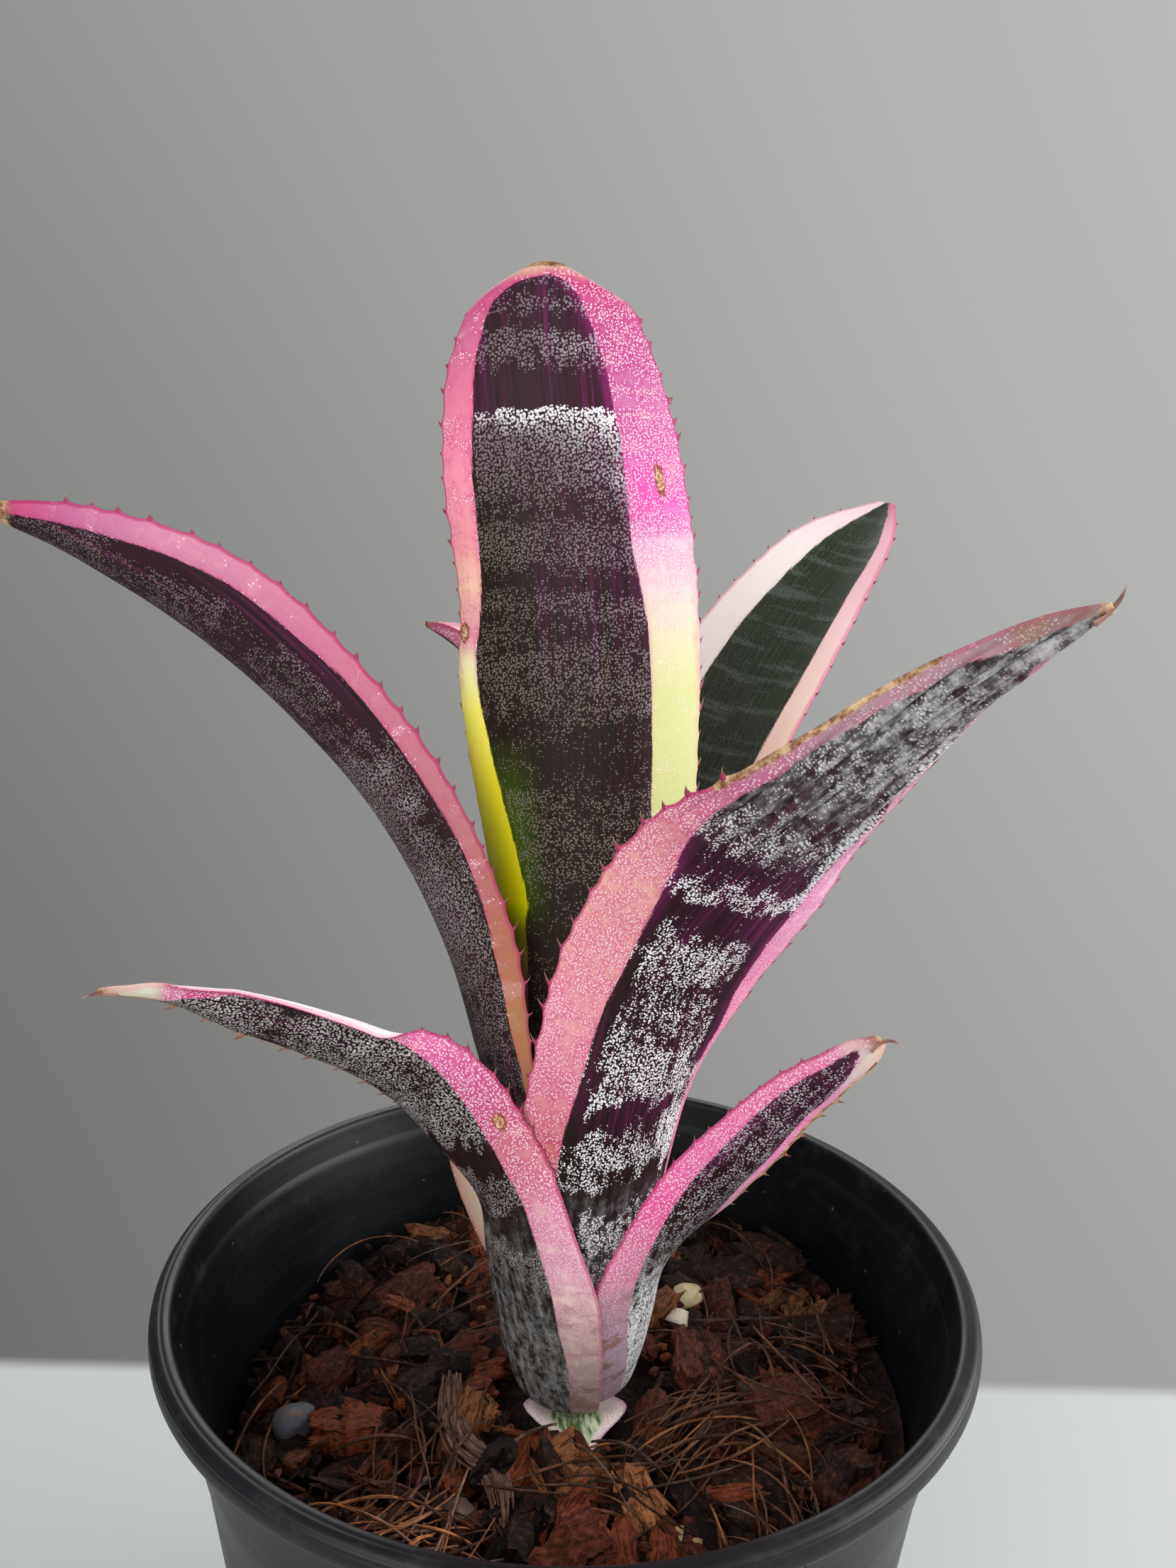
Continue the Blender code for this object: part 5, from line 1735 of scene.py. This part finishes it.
def small_chips(paint):
    """Chips of every size that cover the bed, flatter and smaller ones last."""
    rng = np.random.default_rng(22)
    shell = Shell("place", "tint")
    odds = [0.26, 0.14, 0.27, 0.22, 0.05, 0.06]
    # Each batch: count, shortest and longest, breadth and height as shares of the length, lift and tilt.
    batches = [
        (90, (9, 16), 0.6, 0.45, 0.0, 0.5),
        (170, (5, 11), 0.6, 0.55, 1.0, 0.6),
        (150, (3, 6), 0.65, 0.6, 1.6, 0.6),
        (150, (6, 15), 0.2, 0.12, 2.2, 0.5),
    ]
    for count, lengths, breadth_share, height_share, lift, tilt in batches:
        for _ in range(count):
            length = rng.uniform(*lengths)
            x, y = any_spot(rng, 63.0 - length * 0.45, 0.02)
            frame_of = tilted_frame(rng, rng.uniform(0, FULL_TURN), tilt)
            colour = any_bark(rng, odds) * rng.uniform(0.7, 1.15) * painted_light_and_shade(x, y)
            breadth = length * breadth_share * rng.uniform(0.7, 1.3)
            height = length * height_share * rng.uniform(0.7, 1.3)
            rise = rng.uniform(-0.5, 1.6)
            hides_strip = lift > 0.5 and not clear_of_strip(x, y, 4.0)
            if hides_strip or not clear_of_stem(x, y, length * 0.35):
                continue
            centre = np.array([x, y, bed_height(x, y) + lift + rise])
            add_block(shell, rng, centre, frame_of, (length, breadth, height), colour, 1.3, 13, 6)
    return shell.build("small_chips", [paint], rounded=False)


def litter(paint):
    """Crumbs and slivers between the chips."""
    rng = np.random.default_rng(23)
    shell = Shell("place", "tint")
    odds = [0.24, 0.2, 0.2, 0.12, 0.14, 0.1]
    for _ in range(1200):
        sliver = rng.uniform() < 0.5
        length = rng.uniform(3.0, 9.0) if sliver else rng.uniform(0.8, 2.6)
        thick = rng.uniform(0.35, 0.8) if sliver else length * rng.uniform(0.5, 0.9)
        x, y = any_spot(rng, LITTER_REACH, 0.015)
        frame_of = tilted_frame(rng, rng.uniform(0, FULL_TURN), 0.35)
        colour = any_bark(rng, odds) * rng.uniform(0.6, 1.25) * painted_light_and_shade(x, y) * LITTER_SHADE
        lift = rng.uniform(0.3, 4.2)
        if math.hypot(x, y) + length * 0.5 > BED_REACH or not clear_of_stem(x, y, length * 0.5):
            continue
        centre = np.array([x, y, bed_height(x, y) + lift])
        add_block(shell, rng, centre, frame_of, (length, thick, thick * 0.8), colour, 1.5, 6, 4)
    return shell.build("bark_litter", [paint], rounded=False)


def add_strand(shell, rng, path, thick, colour, sides, flat=1.0):
    """A fibre or root along a path, thinner at its ends."""
    count = len(path)
    along = unit(np.gradient(path, axis=0))
    side = unit(np.cross(along, np.array([0.05, 0.1, 1.0])))
    lift = np.cross(side, along)
    angle = turned(sides)
    s = np.linspace(0, 1, count)
    half = thick * (0.35 + 0.65 * np.sin(math.pi * np.clip(s, 0.04, 0.96)) ** 0.4)
    half = half * (1 + 0.1 * np.sin(s * 17 + rng.uniform(0, 6)))
    turn_cos, turn_sin = np.cos(angle)[None, :, None], np.sin(angle)[None, :, None]
    ring = side[:, None] * turn_cos + lift[:, None] * turn_sin * flat
    skin = (path[:, None] + ring * half[:, None, None]).reshape(-1, 3)
    points = np.concatenate([skin, path[:1] - along[:1] * 0.1, path[-1:] + along[-1:] * 0.1])
    place = np.zeros((len(points), 3))
    place[:-2, 0] = np.repeat(lengths_along(path), sides)
    place[:-2, 1] = np.tile(np.cos(angle) * thick, count)
    place[:-2, 2] = np.tile(np.sin(angle) * thick, count)
    place = place + rng.uniform(0, 80, 3)
    shade = 1 + 0.25 * np.sin(np.repeat(s, sides) * 9 + rng.uniform(0, 6))
    shade = np.concatenate([shade, [1, 1]])[:, None]
    shell.add(points, tube(count, sides), place=place, tint=colour * shade)


def strand_route(name, steps):
    """Points along one of the routes, each at its share of the way in steps."""
    route = np.array(ROUTES[name], float)
    knots = lengths_along(route)
    return smooth(knots, route, steps * knots[-1])


FIBRE_POINTS = 16
FIBRE_TONES = [
    tone(132, 88, 62),
    tone(104, 68, 52),
    tone(72, 46, 36),
    tone(164, 106, 64),
    tone(118, 92, 78),
]


def loose_fibres(paint):
    """Fine coir in bunches, and the few thick fibres that the part has."""
    rng = np.random.default_rng(24)
    shell = Shell("place", "tint")
    # Each bunch: middle, spread, count, main direction in degrees, its scatter and how bright it is.
    bunches = [
        ((0, 0), 60, 90, 0, 180, 1.0),
        ((24, -16), 7, 34, 35, 24, 0.75),
        ((-26, -20), 9, 12, 80, 30, 0.9),
        # Pale fibres at the front left, painted brighter still: painted light on the lit front of the bed.
        ((-30, -41), 12, 110, 20, 55, 1.9),
        ((34, -36), 9, 26, 300, 35, 1.0),
        ((6, -24), 10, 16, 160, 40, 0.7),
        ((42, 4), 10, 20, 300, 60, 0.8),
    ]
    for (middle_x, middle_y), spread, count, heading, scatter, bright in bunches:
        for _ in range(count):
            length = rng.uniform(9, 30)
            x_shift, y_shift = any_spot(rng, spread, 0)
            x0, y0 = middle_x + x_shift, middle_y + y_shift
            turn = math.radians(heading + rng.uniform(-scatter, scatter))
            bend = rng.normal(0, 0.035)
            wander = rng.normal(0, 0.05)
            thick = rng.uniform(0.13, 0.36)
            colour = FIBRE_TONES[rng.integers(5)] * rng.uniform(0.55, 1.15) * bright * painted_light_and_shade(x0, y0)
            low, arch = rng.uniform(3.2, 6.8), rng.uniform(0.2, 2.6)
            s = np.linspace(-0.5, 0.5, FIBRE_POINTS)
            heading_at = turn + bend * s * length + wander * np.sin(s * 9)
            step = length / (FIBRE_POINTS - 1)
            x = x0 + np.cumsum(np.cos(heading_at)) * step - length * 0.5 * math.cos(turn)
            y = y0 + np.cumsum(np.sin(heading_at)) * step - length * 0.5 * math.sin(turn)
            z = bed_height(x, y) + low + arch * (1 - 4 * s * s)
            inside = np.hypot(x, y).max() < LITTER_REACH
            if inside and np.hypot(x - AXIS_X, y - AXIS_Y).min() > SHEATH_REACH + STEM_GAP:
                add_strand(shell, rng, np.stack([x, y, z], -1), thick, colour, 5)
    for name in ("fibre_01", "fibre_02", "fibre_03"):
        path = strand_route(name, np.linspace(0, 1, 40))
        z = bed_height(path[:, 0], path[:, 1]) + 1.0 + 0.25 * np.sin(np.linspace(0, 8, 40))
        add_strand(shell, rng, np.column_stack([path, z]), 0.7, FIBRE_TONES[0], 9)
    return shell.build("coir_fibres", [paint], ["fibre_01", "fibre_02", "fibre_03"])


def shredded_strip(paint):
    """A long strip of inner bark that has frayed into strands."""
    rng = np.random.default_rng(25)
    shell = Shell("place", "tint")
    count = 44
    s = np.linspace(0, 1, count)
    path = strand_route("bark_strip", s)
    along = unit(np.gradient(path, axis=0))
    aside = np.stack([-along[:, 1], along[:, 0]], -1)
    for strand in np.linspace(-1, 1, 13):
        spread = 2.5 * strand * (0.55 + 0.45 * np.sin(math.pi * s)) + 0.3 * np.sin(5 * s + strand * 9)
        first = int(rng.uniform(0, 5))
        last = count - int(rng.uniform(0, 9))
        flat = path + aside * spread[:, None]
        level = bed_height(flat[:, 0], flat[:, 1]) + 4.6 + 0.25 * rng.normal()
        level = level + 1.2 * np.sin(math.pi * s) - 0.4 * strand**2
        colour = tone(128, 98, 84) * rng.uniform(0.6, 1.15)
        part = np.column_stack([flat, level])[first:last]
        add_strand(shell, rng, part, rng.uniform(0.36, 0.62), colour, 7, 0.6)
    return shell.build("shredded_strip", [paint], ["bark_strip"])


GRAVEL_TONES = [tone(150, 134, 104), tone(96, 88, 84), tone(112, 106, 106), tone(70, 60, 54)]


def pebbles(paint):
    """The stones that the part has, and some gravel."""
    rng = np.random.default_rng(26)
    shell = Shell("tint")
    bits = [(*stone, 0.4) for stone in STONES.values()]
    for _ in range(14):
        spot = any_spot(rng, 58, 0.08)
        size = rng.uniform(1.2, 2.8) * np.array([1, 0.85, 0.75])
        shade = GRAVEL_TONES[rng.integers(4)]
        bits.append((spot, size, 0, shade, rng.uniform(1, 3)))
    rings, sides = 14, 22
    polar = np.linspace(0.12, math.pi - 0.12, rings)[:, None]
    angle = turned(sides)[None, :]
    round_x, round_y = np.sin(polar) * np.cos(angle), np.sin(polar) * np.sin(angle)
    skin = np.stack([round_x, round_y, np.cos(polar) + 0 * angle], -1)
    skin = np.concatenate([skin.reshape(-1, 3), [[0, 0, 1.0], [0, 0, -1.0]]])
    for spot, size, turn, colour, lift in bits:
        seed = rng.uniform(0, 50)
        ball = skin * (1 + 0.2 * ripple(skin, 0.9, seed, 2) + 0.05 * ripple(skin, 0.3, seed, 1))[:, None]
        ball = np.sign(ball) * np.abs(ball) ** 0.85
        frame_of = tilted_frame(rng, math.radians(turn), 0.1)
        centre = np.array([*spot, bed_height(*spot) + lift + size[2] / 2])
        points = centre + (ball * np.array(size) / 2) @ np.stack(frame_of)
        shell.add(points, tube(rings, sides), tint=colour)
    return shell.build("pebbles", [paint], list(STONES))


def stem_paint():
    paint = Paint("stem", Specular_IOR_Level=0.3)
    grain = paint.noise(paint.spot(), 700.0, 4.0, 0.6)
    return paint.finish(
        Base_Color=grain.step(0.35, 0.7).pick(tone(88, 62, 40), tone(166, 136, 98)),
        Roughness=0.7 + 0.2 * (grain - 0.5),
        Normal=paint.bump(grain, 0.3, 0.8),
    )


# ------------------------------------------------------------------- the build

outer_paint = leaf_outer_paint()
inner_paint = leaf_inner_paint()
horn = horn_paint()
torn = remnant_paint()
for number, (leaf_name, leaf_look) in enumerate(LEAVES.items(), 1):
    if leaf_name == "basal_leaf":
        leaf_piece(leaf_name, leaf_look, number, [torn, torn, horn])
    else:
        leaf_piece(leaf_name, leaf_look, number, [outer_paint, inner_paint, horn])

pot_piece(plastic_paint())
bed_piece(soil_paint())
chip_paint = bark_paint("bark_chip", 0.82, 0.35)
large_chips(chip_paint)
small_chips(chip_paint)
litter(bark_paint("bark_litter", 0.85, 0.25))
loose_fibres(bark_paint("coir_fibre", 0.75, 0.12))
shredded_strip(bark_paint("inner_bark", 0.8, 0.2))
pebbles(stone_paint())
# The CAD stem stays as it is, and only takes a look.
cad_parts["stem"].data.materials[0] = stem_paint()


# ------------------------------------------------------------------- the stage

FLOOR_COLOUR = tone(196, 199, 198)
FLOOR_REACH = 0.6
FLOOR_LEVEL = -0.0002
FLOOR_SIDES = 96
FLOOR_CLEAR = 0.126
FLOOR_END = 0.134
FLOOR_STRETCH = 4.3
WALL_GREY = 0.343
WALL_RISE_X = 0.255
WALL_RISE_Z = 0.153
SOFT_LIGHT = (0.36, 0.36, 0.37)


def stage_floor():
    """A round of pale floor under the pot."""
    mesh = bpy.data.meshes.new("floor")
    points = [(0.0, 0.0, FLOOR_LEVEL)]
    for angle in turned(FLOOR_SIDES):
        points.append((FLOOR_REACH * math.cos(angle), FLOOR_REACH * math.sin(angle), FLOOR_LEVEL))
    faces = [(0, 1 + side, 1 + (side + 1) % FLOOR_SIDES) for side in range(FLOOR_SIDES)]
    mesh.from_pydata(points, [], faces)
    floor = bpy.data.objects.new("floor", mesh)
    bpy.context.scene.collection.objects.link(floor)
    paint = Paint("floor", Roughness=0.7, Base_Color=FLOOR_COLOUR)
    x, y, _ = paint.spot().split()
    # The floor ends a little way behind the pot, and far off on every other side.
    across = paint.node("VectorMath", {"operation": "LENGTH"}, {0: paint.vector(x, y)}, "Value")
    far = y.most(across / FLOOR_STRETCH)
    clear = paint.node("BsdfTransparent", {}, {})
    solid = Value(paint, paint.shader.outputs[0])
    mixed = paint.node("MixShader", {}, {0: far.step(FLOOR_CLEAR, FLOOR_END), 1: solid, 2: clear})
    paint.join(paint.tree.nodes["Material Output"].inputs["Surface"], mixed)
    mesh.materials.append(paint.material)


def studio_world():
    """A grey wall for the camera and for reflections, with painted light that makes it lighter to the right
    and upward, and a soft even light for the object.
    """
    world = bpy.data.worlds.new("studio")
    bpy.context.scene.world = world
    world.use_nodes = True
    wiring = Wiring(world.node_tree)
    x, _, z = wiring.node("TexCoord", {}, {}, "Generated").split()
    # Painted light: the wall is lighter to the right and upward.
    wall = WALL_GREY + WALL_RISE_X * x + WALL_RISE_Z * z
    grey = wiring.vector(wall, wall, wall * 0.985)
    camera_ray = wiring.node("LightPath", {}, {}, "Is Camera Ray")
    seen = camera_ray.most(camera_ray.sister("Is Glossy Ray"))
    seen = seen.most(camera_ray.sister("Is Transmission Ray"))
    wiring.join(wiring.tree.nodes["Background"].inputs["Color"], seen.pick(SOFT_LIGHT, grey))


def lamp(name, spot, target, size, power, colour=(1, 1, 1)):
    light = bpy.data.lights.new(name, "AREA")
    light.shape = "RECTANGLE"
    light.size, light.size_y = size
    light.energy = power
    light.color = colour
    holder = bpy.data.objects.new(name, light)
    holder.location = spot
    holder.rotation_euler = (Vector(target) - Vector(spot)).to_track_quat("-Z", "Y").to_euler()
    bpy.context.scene.collection.objects.link(holder)


CAMERA_PLACE = (0.0015, -0.204, 0.252)
CAMERA_PITCH = math.radians(10.3)
CAMERA_ROLL = math.radians(1.45)
CAMERA_LENS = 27.03


def photographer():
    """The camera, above the rim in front of the pot, tipped down and a little to one side."""
    pitch, roll = CAMERA_PITCH, CAMERA_ROLL
    forward = Vector((0, math.cos(pitch), -math.sin(pitch)))
    level = Vector((1, 0, 0))
    upright = level.cross(forward)
    right = level * math.cos(roll) + upright * math.sin(roll)
    up = upright * math.cos(roll) - level * math.sin(roll)
    camera = bpy.data.cameras.new("camera")
    camera.lens = CAMERA_LENS
    camera.sensor_width = 36.0
    camera.clip_start = 0.005
    holder = bpy.data.objects.new("camera", camera)
    turn = Matrix((right, up, -forward)).transposed().to_4x4()
    holder.matrix_world = Matrix.Translation(CAMERA_PLACE) @ turn
    bpy.context.scene.collection.objects.link(holder)
    bpy.context.scene.camera = holder


stage_floor()
studio_world()
lamp("window", (0.9, 0.0, 0.42), (0, 0, 0.17), (0.9, 0.8), 11.0)
lamp("fill", (-0.35, -0.85, 0.5), (0, 0, 0.16), (1.2, 1.0), 10.0)
lamp("behind", (-0.1, 0.8, 0.6), (0, 0, 0.2), (0.6, 0.4), 2.5)
photographer()
bpy.context.scene.view_settings.view_transform = "Standard"
